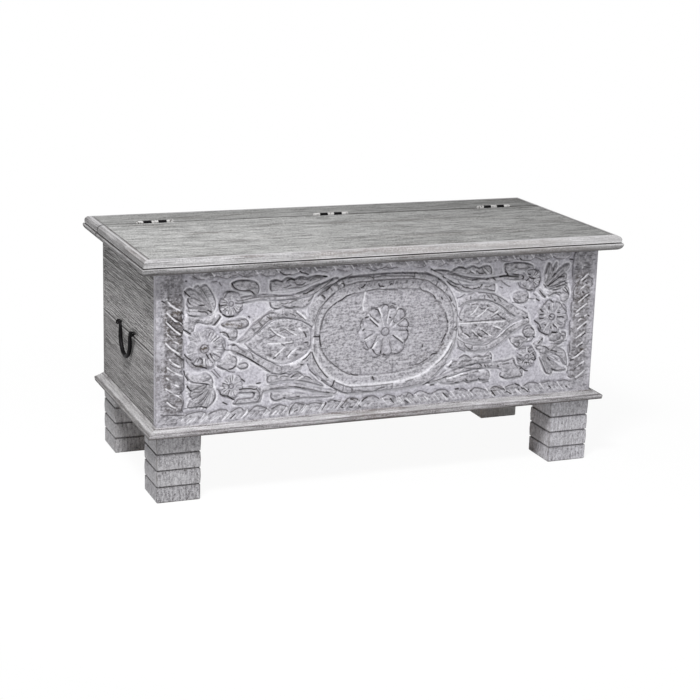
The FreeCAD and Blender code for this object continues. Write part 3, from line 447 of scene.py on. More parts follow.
black_cuts = [
    (-477, 402, -468, 396, -457, 388, -454, 384), (-476, 393, -470, 388, -462, 387, -457, 381),
    (-486, 391, -480, 385, -473, 378, -466, 372, -454, 364), (-498, 435, -493, 432),
    (-450, 452, -446, 447, -439, 441), (-442, 436, -442, 430, -438, 425), (-418, 421, -408, 421),
    (-420, 409, -413, 407, -405, 406, -399, 401), (-400, 410, -392, 404),
    (-452, 371, -446, 368, -437, 362), (-470, 322, -464, 317, -458, 312, -452, 307),
    (-449, 318, -444, 312, -436, 306), (-434, 300, -428, 294, -418, 291, -408, 287, -401, 285),
    (-450, 283, -447, 272, -441, 262), (-415, 203, -408, 202, -400, 199),
    (-443, 250, -439, 243, -434, 239), (-447, 473, -445, 473), (-403, 316, -397, 306),
    (-395, 317, -390, 308), (-415, 308, -413, 306), (-411, 305, -412, 297),
    (-348, 462, -344, 455, -336, 449, -325, 446, -312, 446, -305, 443, -300, 437),
    (-373, 394, -380, 385, -386, 379), (-372, 360, -362, 359, -357, 354, -354, 349),
    (-375, 420, -374, 410, -371, 402), (-367, 398, -360, 394, -350, 392, -343, 393),
    (-373, 417, -366, 418, -360, 418), (-311, 390, -308, 388),
    (-330, 234, -318, 235, -304, 234, -298, 232, -292, 233), (-300, 224, -296, 222),
    (-291, 243, -283, 244), (-370, 226, -363, 223, -354, 221, -345, 214, -340, 212),
    (-365, 208, -356, 203), (-324, 255, -318, 250), (-352, 279, -345, 280, -337, 285),
    (-335, 314, -325, 309, -310, 300, -300, 293, -287, 284), (-346, 331, -340, 331),
    (-229, 462, -220, 465, -212, 462), (-192, 432, -187, 432, -178, 436, -168, 440),
    (-244, 482, -238, 477, -230, 474, -222, 475), (-199, 480, -195, 477, -187, 475, -180, 472),
    (-145, 466, -138, 465), (-214, 405, -210, 405), (-190, 349, -186, 346, -183, 338),
    (-255, 296, -251, 298), (-190, 288, -184, 291, -178, 297, -172, 304), (-194, 278, -188, 277),
    (-185, 326, -180, 326), (-215, 252, -210, 255), (-207, 230, -200, 229, -193, 227),
    (-231, 208, -227, 206), (-201, 208, -196, 207), (-190, 226, -184, 225), (-134, 212, -128, 211),
    (-150, 427, -146, 424, -143, 420), (-140, 436, -132, 443), (-106, 449, -101, 448, -100, 443),
    (-166, 337, -158, 336, -152, 336), (-152, 338, -151, 325, -148, 314),
    (-169, 303, -163, 287, -158, 278, -152, 268, -146, 260, -138, 250, -132, 245),
    (-172, 264, -165, 256, -158, 250), (-145, 238, -141, 236), (-116, 237, -119, 230, -122, 223),
    (-120, 404, -116, 408), (-112, 410, -105, 412, -98, 417, -92, 421, -84, 423),
    (-60, 437, -55, 439, -52, 443), (-20, 443, -18, 438, -12, 437, -8, 436), (7, 440, 9, 442),
    (-28, 238, -25, 231), (-78, 248, -72, 245, -62, 244), (147, 404, 150, 399, 152, 395),
    (110, 409, 113, 405, 114, 402), (129, 404, 131, 400), (119, 446, 122, 444),
    (131, 451, 134, 448, 138, 446), (134, 303, 137, 309, 140, 315, 143, 321),
    (110, 275, 114, 278, 124, 279), (88, 300, 88, 296), (101, 212, 107, 213), (145, 352, 147, 347),
    (-26, 388, -21, 386, -17, 380, -14, 374), (-38, 366, -30, 359, -20, 350), (-48, 370, -42, 371),
    (-54, 343, -50, 346), (7, 368, 10, 367), (-34, 302, -30, 307, -28, 312), (-30, 299, -26, 293),
    (-11, 294, -11, 289), (-5, 287, 0, 285), (17, 327, 24, 321, 30, 317, 40, 309),
    (50, 336, 53, 332), (50, 344, 53, 346), (34, 362, 38, 364), (102, 468, 106, 466, 112, 463),
    (142, 438, 146, 434, 150, 431, 156, 428, 163, 426), (200, 439, 212, 439), (234, 438, 240, 439),
    (252, 440, 256, 436), (268, 442, 276, 443, 286, 443), (282, 452, 286, 448, 289, 442),
    (290, 442, 300, 441, 312, 440), (216, 453, 226, 452), (246, 455, 246, 450),
    (186, 423, 192, 422), (216, 422, 219, 420), (221, 423, 226, 427), (177, 427, 182, 424),
    (204, 419, 209, 419), (176, 351, 179, 350), (240, 379, 243, 376), (266, 358, 269, 356),
    (278, 348, 286, 345), (256, 391, 259, 389), (163, 334, 166, 337),
    (188, 319, 194, 316, 200, 311), (209, 320, 216, 313, 222, 310), (220, 316, 226, 311, 231, 309),
    (230, 324, 238, 318, 245, 313), (199, 284, 203, 282), (154, 246, 158, 250),
    (212, 337, 216, 336), (255, 259, 257, 257), (229, 246, 233, 243), (240, 244, 244, 240),
    (227, 214, 231, 211), (196, 213, 200, 210), (170, 209, 178, 209), (112, 207, 120, 207),
    (140, 222, 148, 224), (272, 239, 276, 237), (284, 213, 289, 211),
    (338, 408, 343, 407, 349, 409), (337, 445, 342, 443), (340, 438, 344, 435, 350, 434, 355, 434),
    (366, 438, 369, 432, 368, 426), (366, 426, 366, 421), (333, 430, 338, 434),
    (368, 405, 376, 396, 384, 389), (362, 386, 370, 381), (338, 392, 341, 390),
    (324, 441, 326, 438, 324, 434), (398, 435, 406, 441), (388, 414, 398, 420, 410, 429),
    (379, 418, 384, 412), (373, 362, 376, 358, 380, 356), (372, 350, 381, 349),
    (372, 341, 381, 341), (394, 367, 394, 361), (396, 346, 400, 343), (332, 346, 336, 343),
    (341, 346, 344, 344), (343, 300, 350, 299), (360, 300, 363, 298), (351, 322, 360, 315),
    (361, 336, 366, 332, 371, 328), (372, 325, 376, 318), (371, 318, 374, 312, 383, 306, 395, 302),
    (386, 326, 388, 324), (401, 320, 403, 316), (360, 262, 363, 257, 369, 248, 367, 245),
    (348, 267, 351, 265), (324, 253, 329, 250), (341, 242, 347, 241),
    (329, 228, 335, 229, 344, 222, 350, 221), (379, 292, 382, 294), (372, 284, 376, 288),
    (388, 275, 395, 272, 400, 267), (397, 249, 404, 242), (412, 432, 420, 433, 427, 435),
    (410, 411, 420, 414, 430, 416), (431, 421, 434, 418), (430, 409, 435, 404, 439, 398, 441, 393),
    (400, 380, 403, 376), (416, 352, 421, 352), (416, 342, 424, 342, 432, 340),
    (406, 326, 411, 321, 416, 318), (405, 306, 416, 305), (406, 265, 413, 263, 420, 261),
    (410, 222, 416, 219, 423, 217), (441, 472, 449, 471), (314, 481, 318, 478),
    (473, 429, 478, 432), (476, 421, 482, 425), (476, 396, 480, 394), (483, 417, 486, 415),
    (473, 382, 477, 384), (484, 382, 490, 385, 494, 388), (494, 341, 497, 339),
    (484, 316, 490, 320), (480, 292, 485, 296, 490, 299), (476, 270, 484, 274),
    (467, 248, 472, 251, 478, 255), (458, 238, 464, 240), (468, 217, 472, 219),
    (480, 224, 486, 226), (478, 336, 484, 338), (-349, 173, -344, 176, -339, 180),
    (-218, 172, -217, 178, -213, 185), (-143, 174, -138, 181, -134, 188), (-206, 175, -200, 178),
    (-99, 176, -96, 174), (-79, 174, -73, 174), (-58, 175, -55, 173), (-115, 191, -111, 190),
    (-77, 192, -73, 191), (-50, 186, -45, 190, -38, 193), (16, 185, 20, 180, 24, 176),
    (50, 179, 54, 176, 58, 173), (142, 187, 147, 182, 152, 177), (172, 193, 180, 194),
    (208, 186, 211, 188), (260, 183, 265, 178, 270, 171), (290, 186, 294, 182),
    (299, 178, 306, 174, 311, 172), (328, 181, 331, 179), (336, 183, 340, 181),
    (341, 182, 347, 177, 352, 173), (353, 179, 355, 177), (405, 182, 410, 178),
    (449, 178, 451, 176), (321, 193, 326, 191, 332, 188)]
dark_cuts = [
    (-486, 435, -478, 430, -470, 424), (-489, 387, -483, 380, -477, 373, -470, 366),
    (-478, 337, -470, 332, -463, 326), (-484, 360, -476, 352, -468, 348),
    (-478, 308, -470, 302, -461, 298), (-480, 300, -470, 293, -458, 290),
    (-484, 289, -476, 283, -470, 280), (-483, 266, -476, 260, -470, 257),
    (-486, 244, -478, 238, -470, 236, -463, 234), (-486, 222, -478, 215, -471, 210),
    (-482, 210, -474, 205, -467, 203), (-458, 412, -450, 401, -453, 392), (-460, 357, -453, 350),
    (-450, 312, -450, 300, -450, 290), (-453, 258, -449, 250, -452, 240, -462, 234),
    (-460, 230, -451, 220, -455, 205, -452, 194), (-433, 484, -425, 478, -417, 475, -408, 474),
    (-380, 480, -368, 476, -358, 474, -352, 478), (-336, 483, -328, 478, -318, 476, -306, 477),
    (-285, 480, -277, 475, -271, 473, -266, 475), (-156, 480, -150, 478, -138, 475),
    (-116, 480, -108, 478, -102, 477), (-72, 478, -66, 475),
    (-50, 480, -36, 474, -30, 472, -20, 475, -8, 479), (-6, 480, 8, 475, 22, 477),
    (81, 478, 85, 475, 89, 477), (268, 480, 281, 475, 290, 476),
    (318, 476, 330, 475, 342, 475, 348, 478), (353, 481, 360, 479, 367, 475, 374, 473, 388, 477),
    (398, 481, 406, 476, 418, 474, 425, 475), (-391, 468, -380, 469), (-375, 466, -371, 459),
    (-296, 461, -291, 455, -289, 447, -291, 438),
    (-340, 428, -334, 425, -320, 427, -305, 430, -290, 431, -250, 430, -215, 429),
    (-341, 422, -336, 420, -320, 421), (-372, 431, -366, 432, -362, 440, -356, 445, -348, 446),
    (-337, 398, -330, 401, -324, 406), (-365, 412, -358, 405),
    (-356, 382, -348, 383, -335, 383, -325, 385, -318, 385, -313, 380, -310, 373, -313, 369, -320,
     368, -330, 366, -337, 367), (-340, 366, -335, 360, -335, 354, -340, 347, -354, 343),
    (-300, 371, -290, 377, -280, 387, -270, 393, -262, 396),
    (-300, 350, -292, 358, -284, 365, -275, 374, -265, 380, -248, 383, -235, 383, -215, 379, -195,
     373, -178, 364, -170, 358), (-290, 379, -280, 368), (-272, 388, -262, 380),
    (-368, 336, -367, 330, -362, 322, -345, 319, -335, 314),
    (-287, 284, -277, 279, -268, 272, -262, 267),
    (-355, 331, -342, 332, -335, 328, -329, 322, -318, 315),
    (-310, 318, -297, 310, -288, 304, -280, 299, -270, 293, -260, 288, -250, 282, -240, 278),
    (-305, 312, -299, 298), (-292, 293, -288, 291), (-345, 307, -338, 303, -336, 296, -338, 289),
    (-378, 288, -370, 283, -362, 280), (-385, 281, -371, 264), (-390, 278, -376, 262),
    (-378, 291, -358, 278, -350, 273, -340, 272),
    (-331, 288, -325, 290, -316, 290, -311, 286, -311, 282, -318, 279, -328, 279),
    (-378, 238, -372, 233, -371, 228), (-366, 249, -361, 248), (-367, 245, -362, 240),
    (-356, 238, -352, 242), (-357, 248, -352, 243), (-330, 226, -310, 226, -302, 225),
    (-292, 232, -286, 224, -284, 216, -287, 208, -292, 204, -305, 203, -325, 203, -342, 203),
    (-296, 222, -298, 216, -303, 213, -315, 213, -331, 212, -340, 203),
    (-436, 238, -437, 230, -435, 225), (-430, 242, -408, 250), (-430, 237, -415, 236, -400, 250),
    (-423, 223, -410, 232), (-420, 211, -408, 221, -396, 238),
    (-394, 206, -388, 212, -384, 222, -383, 230), (-450, 201, -430, 203, -415, 203),
    (-410, 258, -398, 261, -392, 266), (-442, 419, -440, 408), (-426, 388, -418, 390),
    (-428, 384, -418, 384, -410, 381), (-260, 462, -252, 463, -245, 462, -238, 460),
    (-203, 463, -198, 466, -190, 463, -183, 462), (-176, 461, -166, 466, -154, 464, -145, 466),
    (-264, 457, -265, 450, -263, 444, -260, 441), (-235, 448, -228, 449, -222, 452),
    (-225, 445, -205, 447, -195, 446, -188, 449, -180, 452),
    (-210, 455, -203, 452, -195, 452, -188, 456),
    (-205, 433, -195, 436, -185, 439, -175, 444, -155, 451),
    (-180, 415, -172, 422, -163, 432, -148, 443, -125, 460),
    (-265, 418, -263, 411, -261, 406, -250, 404), (-240, 414, -235, 412, -228, 414),
    (-237, 409, -230, 406, -220, 404, -205, 403, -198, 403), (-222, 414, -214, 417, -206, 419),
    (-184, 409, -178, 409), (-207, 392, -200, 386, -192, 380, -185, 374), (-232, 390, -226, 386),
    (-220, 391, -212, 388, -208, 384), (-262, 396, -257, 395),
    (-262, 358, -256, 352, -248, 345, -240, 341), (-228, 356, -220, 350, -212, 345),
    (-242, 354, -228, 358), (-218, 356, -210, 353), (-250, 347, -262, 342, -268, 341),
    (-226, 298, -220, 304, -216, 310), (-248, 300, -242, 306), (-238, 327, -232, 322),
    (-228, 326, -212, 326), (-266, 243, -268, 250, -266, 257, -260, 260, -246, 256),
    (-240, 254, -232, 256, -221, 253), (-210, 255, -203, 259, -196, 259, -188, 254),
    (-186, 251, -180, 251, -174, 248, -168, 243), (-262, 229, -250, 230, -232, 232),
    (-235, 228, -225, 228), (-220, 232, -207, 230), (-184, 225, -170, 221, -150, 215, -140, 213),
    (-258, 219, -259, 213, -256, 208, -250, 204, -230, 207), (-222, 206, -203, 207),
    (-158, 425, -142, 437, -125, 448, -110, 456, -96, 461, -82, 467),
    (-166, 371, -163, 378, -155, 397, -142, 410, -128, 422, -120, 428),
    (-150, 350, -148, 360, -144, 375, -138, 387, -130, 396, -122, 403), (-178, 277, -172, 264),
    (-158, 250, -150, 240), (-140, 234, -128, 225, -115, 218, -105, 213, -92, 207, -85, 205),
    (-142, 298, -131, 283, -124, 277, -110, 265, -98, 256, -80, 246), (-130, 440, -127, 434),
    (-116, 445, -112, 446), (-114, 441, -113, 437),
    (-100, 445, -84, 447, -66, 451, -50, 450, -10, 451, 30, 451, 60, 451, 80, 447),
    (80, 447, 94, 444, 106, 436, 118, 428, 130, 419, 142, 409, 147, 404),
    (-90, 459, -82, 461, -50, 461, -30, 459, -10, 461, 10, 459, 50, 457, 62, 454),
    (62, 460, 65, 463, 70, 461), (34, 465, 40, 462), (87, 463, 99, 458),
    (112, 463, 125, 457, 128, 455), (155, 389, 161, 381), (162, 376, 165, 373),
    (123, 442, 138, 431), (118, 440, 112, 431), (-84, 423, -74, 427),
    (-50, 428, -40, 430, -22, 432, 0, 429, 25, 427), (76, 430, 80, 425, 85, 421, 92, 420),
    (95, 419, 105, 413, 110, 409), (113, 396, 126, 395, 129, 390), (140, 370, 142, 362, 144, 354),
    (146, 327, 147, 335), (72, 257, 80, 257, 88, 261, 102, 268),
    (122, 254, 133, 263, 146, 277, 155, 292, 158, 300),
    (-118, 236, -110, 231, -95, 224, -80, 219, -76, 214, -73, 211),
    (-75, 208, -60, 209, -38, 206, -22, 206, -8, 212, 0, 212),
    (-80, 219, -40, 217, 0, 218, 20, 219), (50, 221, 68, 225), (130, 240, 143, 250, 148, 254),
    (148, 315, 150, 309), (152, 325, 156, 318), (94, 209, 100, 211, 110, 216),
    (-44, 462, -37, 459, -32, 454), (-66, 437, -63, 433), (-39, 378, -36, 373, -26, 364),
    (-28, 368, -19, 358), (-54, 368, -60, 355, -58, 350),
    (-12, 389, -8, 394, -2, 396, 3, 393, 4, 388), (8, 390, 12, 393, 15, 392), (13, 398, 22, 394),
    (29, 385, 25, 378, 16, 361, 21, 354), (-50, 324, -44, 327, -32, 334),
    (-48, 318, -46, 312, -40, 302), (-27, 316, -21, 328), (-26, 292, -20, 287, -10, 283),
    (-11, 290, -8, 310, -8, 320), (16, 292, 13, 300, 9, 313),
    (31, 384, 37, 383, 43, 373, 42, 368, 38, 364),
    (25, 350, 32, 355, 40, 360, 46, 361, 54, 350, 53, 345), (28, 350, 34, 346, 50, 344),
    (30, 337, 50, 336), (53, 330, 52, 324, 47, 316, 43, 315),
    (140, 456, 156, 453, 170, 449, 180, 445, 196, 440, 215, 440, 235, 438), (166, 469, 180, 468),
    (222, 466, 226, 458, 235, 449), (228, 466, 233, 460, 238, 456), (243, 467, 247, 460, 248, 454),
    (209, 459, 218, 452), (195, 458, 204, 453), (187, 455, 192, 455),
    (281, 468, 280, 460, 283, 453), (165, 424, 172, 419, 185, 414), (150, 440, 158, 434, 168, 430),
    (168, 438, 174, 431), (182, 424, 193, 421, 206, 418, 216, 422), (232, 423, 238, 423),
    (241, 422, 247, 424), (256, 426, 258, 418, 257, 411), (237, 417, 250, 412, 257, 411),
    (168, 400, 175, 401, 186, 407), (218, 409, 234, 408, 250, 404, 266, 398, 283, 388, 290, 383),
    (175, 383, 190, 390, 206, 393, 234, 393, 250, 388, 262, 382, 276, 376, 292, 363, 310, 350),
    (198, 402, 198, 396), (232, 402, 233, 396), (236, 406, 245, 396), (248, 402, 252, 396),
    (262, 400, 268, 392, 273, 387), (222, 376, 228, 372, 236, 372), (240, 370, 254, 364),
    (256, 362, 266, 367), (252, 352, 264, 358), (269, 356, 278, 348), (192, 383, 197, 384),
    (202, 383, 208, 384), (213, 384, 218, 383), (170, 362, 176, 352),
    (185, 345, 220, 345, 275, 346), (273, 432, 288, 421, 295, 418), (270, 419, 277, 416),
    (172, 308, 187, 299, 202, 294, 215, 291, 240, 290, 260, 299, 278, 309, 292, 322, 310, 332),
    (188, 298, 190, 292, 198, 285), (208, 290, 208, 284), (173, 287, 187, 280, 192, 277),
    (180, 264, 193, 269, 204, 264), (213, 263, 220, 265, 231, 262), (240, 263, 250, 266),
    (254, 269, 258, 264, 257, 257), (183, 257, 200, 256, 207, 258), (160, 254, 166, 257, 173, 256),
    (206, 245, 225, 249), (247, 243, 250, 239, 258, 241), (180, 240, 187, 241),
    (190, 241, 210, 238, 232, 236), (182, 224, 200, 226), (212, 229, 226, 231),
    (252, 227, 256, 215), (231, 211, 240, 209, 250, 208), (200, 210, 226, 209),
    (150, 212, 166, 211), (240, 202, 253, 204),
    (283, 222, 281, 216, 285, 212, 298, 208, 316, 210, 338, 211), (288, 248, 300, 250),
    (285, 242, 300, 244), (112, 216, 126, 218, 133, 220), (135, 229, 147, 237),
    (163, 330, 168, 328, 171, 330), (178, 337, 181, 328, 184, 322), (264, 326, 276, 322),
    (303, 461, 316, 458, 332, 457), (294, 449, 308, 445, 314, 444), (326, 438, 318, 433, 303, 436),
    (336, 453, 352, 454, 361, 447), (366, 417, 358, 411, 353, 413),
    (315, 425, 320, 416, 332, 412, 338, 408), (325, 420, 333, 415), (305, 391, 313, 386, 316, 382),
    (303, 381, 328, 380, 339, 386), (342, 388, 357, 386), (355, 398, 363, 392),
    (389, 466, 386, 458, 381, 443), (399, 455, 400, 449), (381, 423, 390, 430),
    (384, 412, 387, 409), (392, 420, 404, 430, 410, 435), (395, 408, 410, 412),
    (395, 393, 410, 399), (380, 369, 388, 378, 394, 381, 400, 380), (333, 370, 338, 366),
    (333, 316, 343, 322), (332, 312, 339, 302, 343, 300),
    (301, 300, 303, 294, 307, 288, 318, 281, 323, 282),
    (311, 289, 316, 291, 323, 289, 325, 286, 322, 282), (312, 301, 326, 302, 337, 298),
    (345, 288, 356, 290), (357, 292, 360, 297), (326, 272, 330, 275, 342, 275),
    (347, 273, 357, 276, 364, 268), (323, 263, 331, 258), (333, 246, 338, 248),
    (348, 247, 356, 249, 362, 247), (347, 241, 360, 238), (311, 250, 316, 240, 323, 231),
    (336, 213, 330, 222), (366, 275, 371, 271, 378, 270), (378, 250, 388, 230, 396, 215, 400, 212),
    (385, 246, 390, 239), (414, 421, 428, 423), (433, 414, 436, 411), (425, 405, 436, 397),
    (402, 398, 418, 398, 422, 394), (410, 377, 421, 374, 428, 364, 440, 352), (418, 326, 430, 322),
    (400, 288, 414, 287, 425, 291, 429, 302), (429, 302, 434, 305, 443, 299),
    (406, 280, 420, 280, 436, 283, 444, 285), (418, 245, 425, 241), (433, 240, 441, 229),
    (423, 217, 442, 217), (475, 455, 490, 450), (488, 433, 500, 424),
    (497, 420, 500, 413, 498, 408), (480, 387, 492, 394), (477, 376, 484, 382),
    (474, 362, 480, 366), (474, 354, 481, 359), (474, 268, 485, 260), (476, 245, 484, 250),
    (472, 219, 480, 224), (471, 193, 474, 193), (479, 196, 482, 197), (450, 470, 450, 432),
    (459, 412, 453, 398, 457, 376), (452, 372, 451, 357, 452, 350), (452, 330, 450, 322, 452, 297),
    (453, 276, 453, 257), (453, 250, 458, 248), (456, 232, 454, 226), (454, 201, 460, 197),
    (-448, 186, -440, 190, -415, 193, -402, 188), (-395, 187, -378, 193, -360, 192, -354, 188),
    (-350, 185, -335, 193, -325, 193, -321, 188), (-308, 184, -295, 193, -280, 193, -265, 185),
    (-258, 185, -240, 193, -222, 187), (-212, 187, -202, 194, -188, 190, -182, 187),
    (-178, 187, -162, 191, -144, 187), (-130, 190, -118, 193, -100, 187),
    (-96, 178, -88, 190, -80, 194, -66, 192, -55, 185), (-38, 193, -22, 194, -10, 186),
    (-6, 188, 8, 194, 24, 190, 28, 186), (33, 187, 44, 192), (52, 186, 60, 194, 70, 188),
    (74, 190, 88, 196, 108, 188), (115, 187, 133, 195, 150, 193, 155, 189),
    (182, 190, 190, 193, 202, 187), (214, 190, 222, 193, 246, 186), (259, 188, 270, 192, 291, 183),
    (296, 188, 302, 191, 314, 193), (341, 187, 352, 193, 368, 193, 380, 188), (386, 190, 408, 194),
    (430, 191, 445, 193, 458, 188), (-500, 193, -493, 191, -470, 190, -452, 188)]

# The darkest dots, as x, z and radius, and the places where the paint has gone, as x, z, half
# their width and height, and how bare they are.
black_dots = [
    (-247, 275, 2), (-237, 273, 2), (-243, 268, 2), (-263, 303, 5), (-205, 300, 4), (-235, 293, 2),
    (-196, 314, 2), (-46, 442, 2), (-42, 444, 1.5), (-38, 441, 2), (-30, 443, 2), (5, 444, 2),
    (12, 442, 2), (22, 444, 1.5), (30, 442, 2), (45, 443, 2), (60, 441, 2), (25, 433, 2),
    (33, 433, 2), (46, 433, 2), (-71, 404, 2), (-66, 385, 2), (-103, 351, 2), (-78, 345, 2),
    (125, 364, 2), (124, 358, 2), (125, 352, 2), (136, 376, 2), (73, 227, 2), (109, 244, 2),
    (24, 295, 2), (23, 286, 2), (97, 288, 2), (-28, 235, 3.5)]
bare_patches = [
    (-408, 328, 8, 8, 1.8), (-352, 375, 17, 5, 1.8), (-332, 371, 7, 4, 1.44),
    (-476, 380, 14, 46, 0.99), (-488, 270, 14, 50, 0.81), (-162, 466, 7, 3, 1.26),
    (-265, 384, 6, 4, 1.08), (250, 446, 5, 10, 1.08), (265, 178, 8, 8, 1.62),
    (482, 334, 9, 9, 1.44), (480, 262, 11, 9, 1.26), (135, 293, 8, 8, 1.08), (125, 288, 6, 6, 0.9),
    (-78, 190, 22, 3, 1.26), (275, 189, 16, 3, 1.26), (-418, 291, 17, 3, 1.44),
    (-290, 380, 18, 10, 0.54), (95, 275, 12, 10, 0.54)]

# The flowers, as x, z, reach, the angles between their petals, and how wide the hub, how deep
# the dish and the notches, and how many rays. The rosette in the medallion has no rays.
rosette_parts = (80, 107, 136, 168, -158, -133, -102, -67, -31, 0, 31, 56)
flowers = [(-407, 328, 43, (42, 109, 146, 194, 266, 313, 343), 9, 1.5, 0.2, 26),
           (402, 343, 40, (8, 55, 92, 128, 165, 200, 238, 275, 310, 340), 7, 1.2, 0.18, 17),
           (-350, 420, 26, (30, 88, 140, 205, 268, 325), 5, 0.9, 0.14, 15),
           (-348, 243, 26, (20, 75, 130, 185, 245, 310), 5, 0.9, 0.14, 15),
           (345, 432, 26, (10, 70, 135, 190, 255, 310), 6, 0.9, 0.18, 15),
           (345, 255, 24, (40, 95, 150, 210, 280, 335), 5, 0.9, 0.14, 15)]

# The ribs of each fan spread from its root between two angles. The rays cut on the petals are
# given by the flower's centre, their inner and outer reach, two angles and the step between.
fan_roots = [((-388, 403), 112, 178), ((-388, 246), 165, 258), ((384, 408), 10, 92),
             ((378, 262), -65, 30)]
petal_rays = [((-407, 328), 22, 38, -128, 72, 11), ((-350, 420), 10, 22, 150, 350, 17),
              ((-348, 243), 9, 21, 80, 300, 19), ((345, 432), 9, 21, -60, 60, 17),
              ((345, 255), 9, 21, -150, 60, 20)]


def cut_borders(front):
    """The rope borders: up both sides, along the foot out from its middle, and along the top."""
    x, z = front.x, front.z
    front.rope(z, x + field_side, left_notches, side_border, 0.80, 0, 0.2)
    front.rope(z, field_side - x, right_notches, side_border, 0.62, 0, 0.2)
    front.rope(x, z - field_foot, foot_notches[:11], foot_border, -0.85, 4, 0.36)
    front.rope(x, z - field_foot, foot_notches[10:], foot_border, 0.85, 4, 0.36)
    top_notches = [notch + 20 for notch in foot_notches[:-1]]
    front.rope(x, field_head - z, top_notches, foot_border, -0.85, 3, 0.36)


def cut_medallion(front):
    """The oval medallion: its rim, a step, a lowered field, and the rosette in the middle."""
    front.lift(medallion_rim, top=0.4, droop=0.5)
    front.sink(medallion_step, to=2.6, wall=5.0, shade=0.6)
    front.sink(medallion_field, to=3.6, wall=2.0, shade=0.55)
    for outline, grown in ((medallion_rim, 1.02), (medallion_step, 1.025),
                           (medallion_field, 1.03)):
        ring = (curve_through(outline) - medallion_centre) * grown + medallion_centre
        front.score(np.vstack([ring[::4], ring[:1]]), deep=0.0, wide=1.3, white=0.42)
    for tick in medallion_ticks:
        front.score(tick, deep=0.9, wide=1.2, dark=0.75)
    front.flower(*rosette_centre, 57, rosette_parts, 9, 1.2, 0.13)
    for turned in np.radians(rosette_parts):
        for aside, white, dark in ((0.06, 0.0, 0.6), (0.0, 0.75, 0.0)):
            front.score(spoke(*rosette_centre, turned + aside, (19, 50)), deep=0.4, wide=1.1,
                        white=white, dark=dark)


def cut_leaves(front):
    """The long leaves beside the medallion, the stems and tufts, the corner fans and the buds."""
    for blade in (left_leaf_blade, right_leaf_blade):
        front.lift(blade, top=1.6, droop=1.2)
    for band in (left_leaf_under, left_leaf_over, right_leaf_over, right_leaf_under):
        front.lift(band, top=0.5, droop=0.4)
    for tick in leaf_ticks:
        front.score(tick, deep=0.8, wide=1.0, dark=0.35)
    for shape in stems + tufts:
        front.lift(shape, top=0.6, droop=1.0)
    for shape in left_fan_over + left_fan_under + right_fan_over + right_fan_under:
        front.lift(shape, top=0.7, droop=1.2)
    for shape in petals_and_buds:
        front.lift(shape, top=0.8, droop=1.2)
    for (root_x, root_z), first, last in fan_roots:
        for turned in np.radians(np.arange(first, last, 7.5)):
            front.score(spoke(root_x, root_z, turned, (14, 36, 58)), deep=0.6, wide=1.1,
                        white=0.25, dark=0.75)


def cut_flowers(front):
    """The two big flowers, the four small ones, and the knife's rays on their petals."""
    for flower in flowers:
        front.flower(*flower)
    for (hub_x, hub_z), near, far, first, last, step in petal_rays:
        for order, turned in enumerate(np.radians(np.arange(first, last, step / 2))):
            turned += 0.04 * np.sin(order * 2.7)
            reaches = (near * (1.1 + 0.2 * np.sin(order * 2.3)),
                       far * (0.94 + 0.1 * np.cos(order * 1.7)))
            dark = (0.85 + 0.3 * np.sin(order * 1.1)) * (1 - order % 2)
            front.score(spoke(hub_x, hub_z, turned, reaches), deep=0.5, wide=1.0,
                        white=0.7 * (order % 2), dark=dark)


def cut_single_lines(front):
    """Each cut that was traced by itself, laid over the shapes, the painted highlights on the
    bevels that face the light, and the deepest dark dots.
    """
    for cuts, deep, wide, white, dark in ((painted_highlit_bevels, 0.0, 3.0, 0.85, 0.0),
                                          (white_cuts, 0.8, 1.5, 1.1, 0.0),
                                          (dark_cuts, 0.8, 1.35, 0.0, 0.85),
                                          (black_cuts, 1.0, 1.6, 0.0, 1.25)):
        for cut in cuts:
            front.score(cut, deep, wide, white, dark)
    for dot_x, dot_z, radius in black_dots:
        dot = hill(np.hypot(front.x - dot_x, front.z - dot_z), radius)
        front.shade = np.maximum(front.shade, 0.8 * dot)


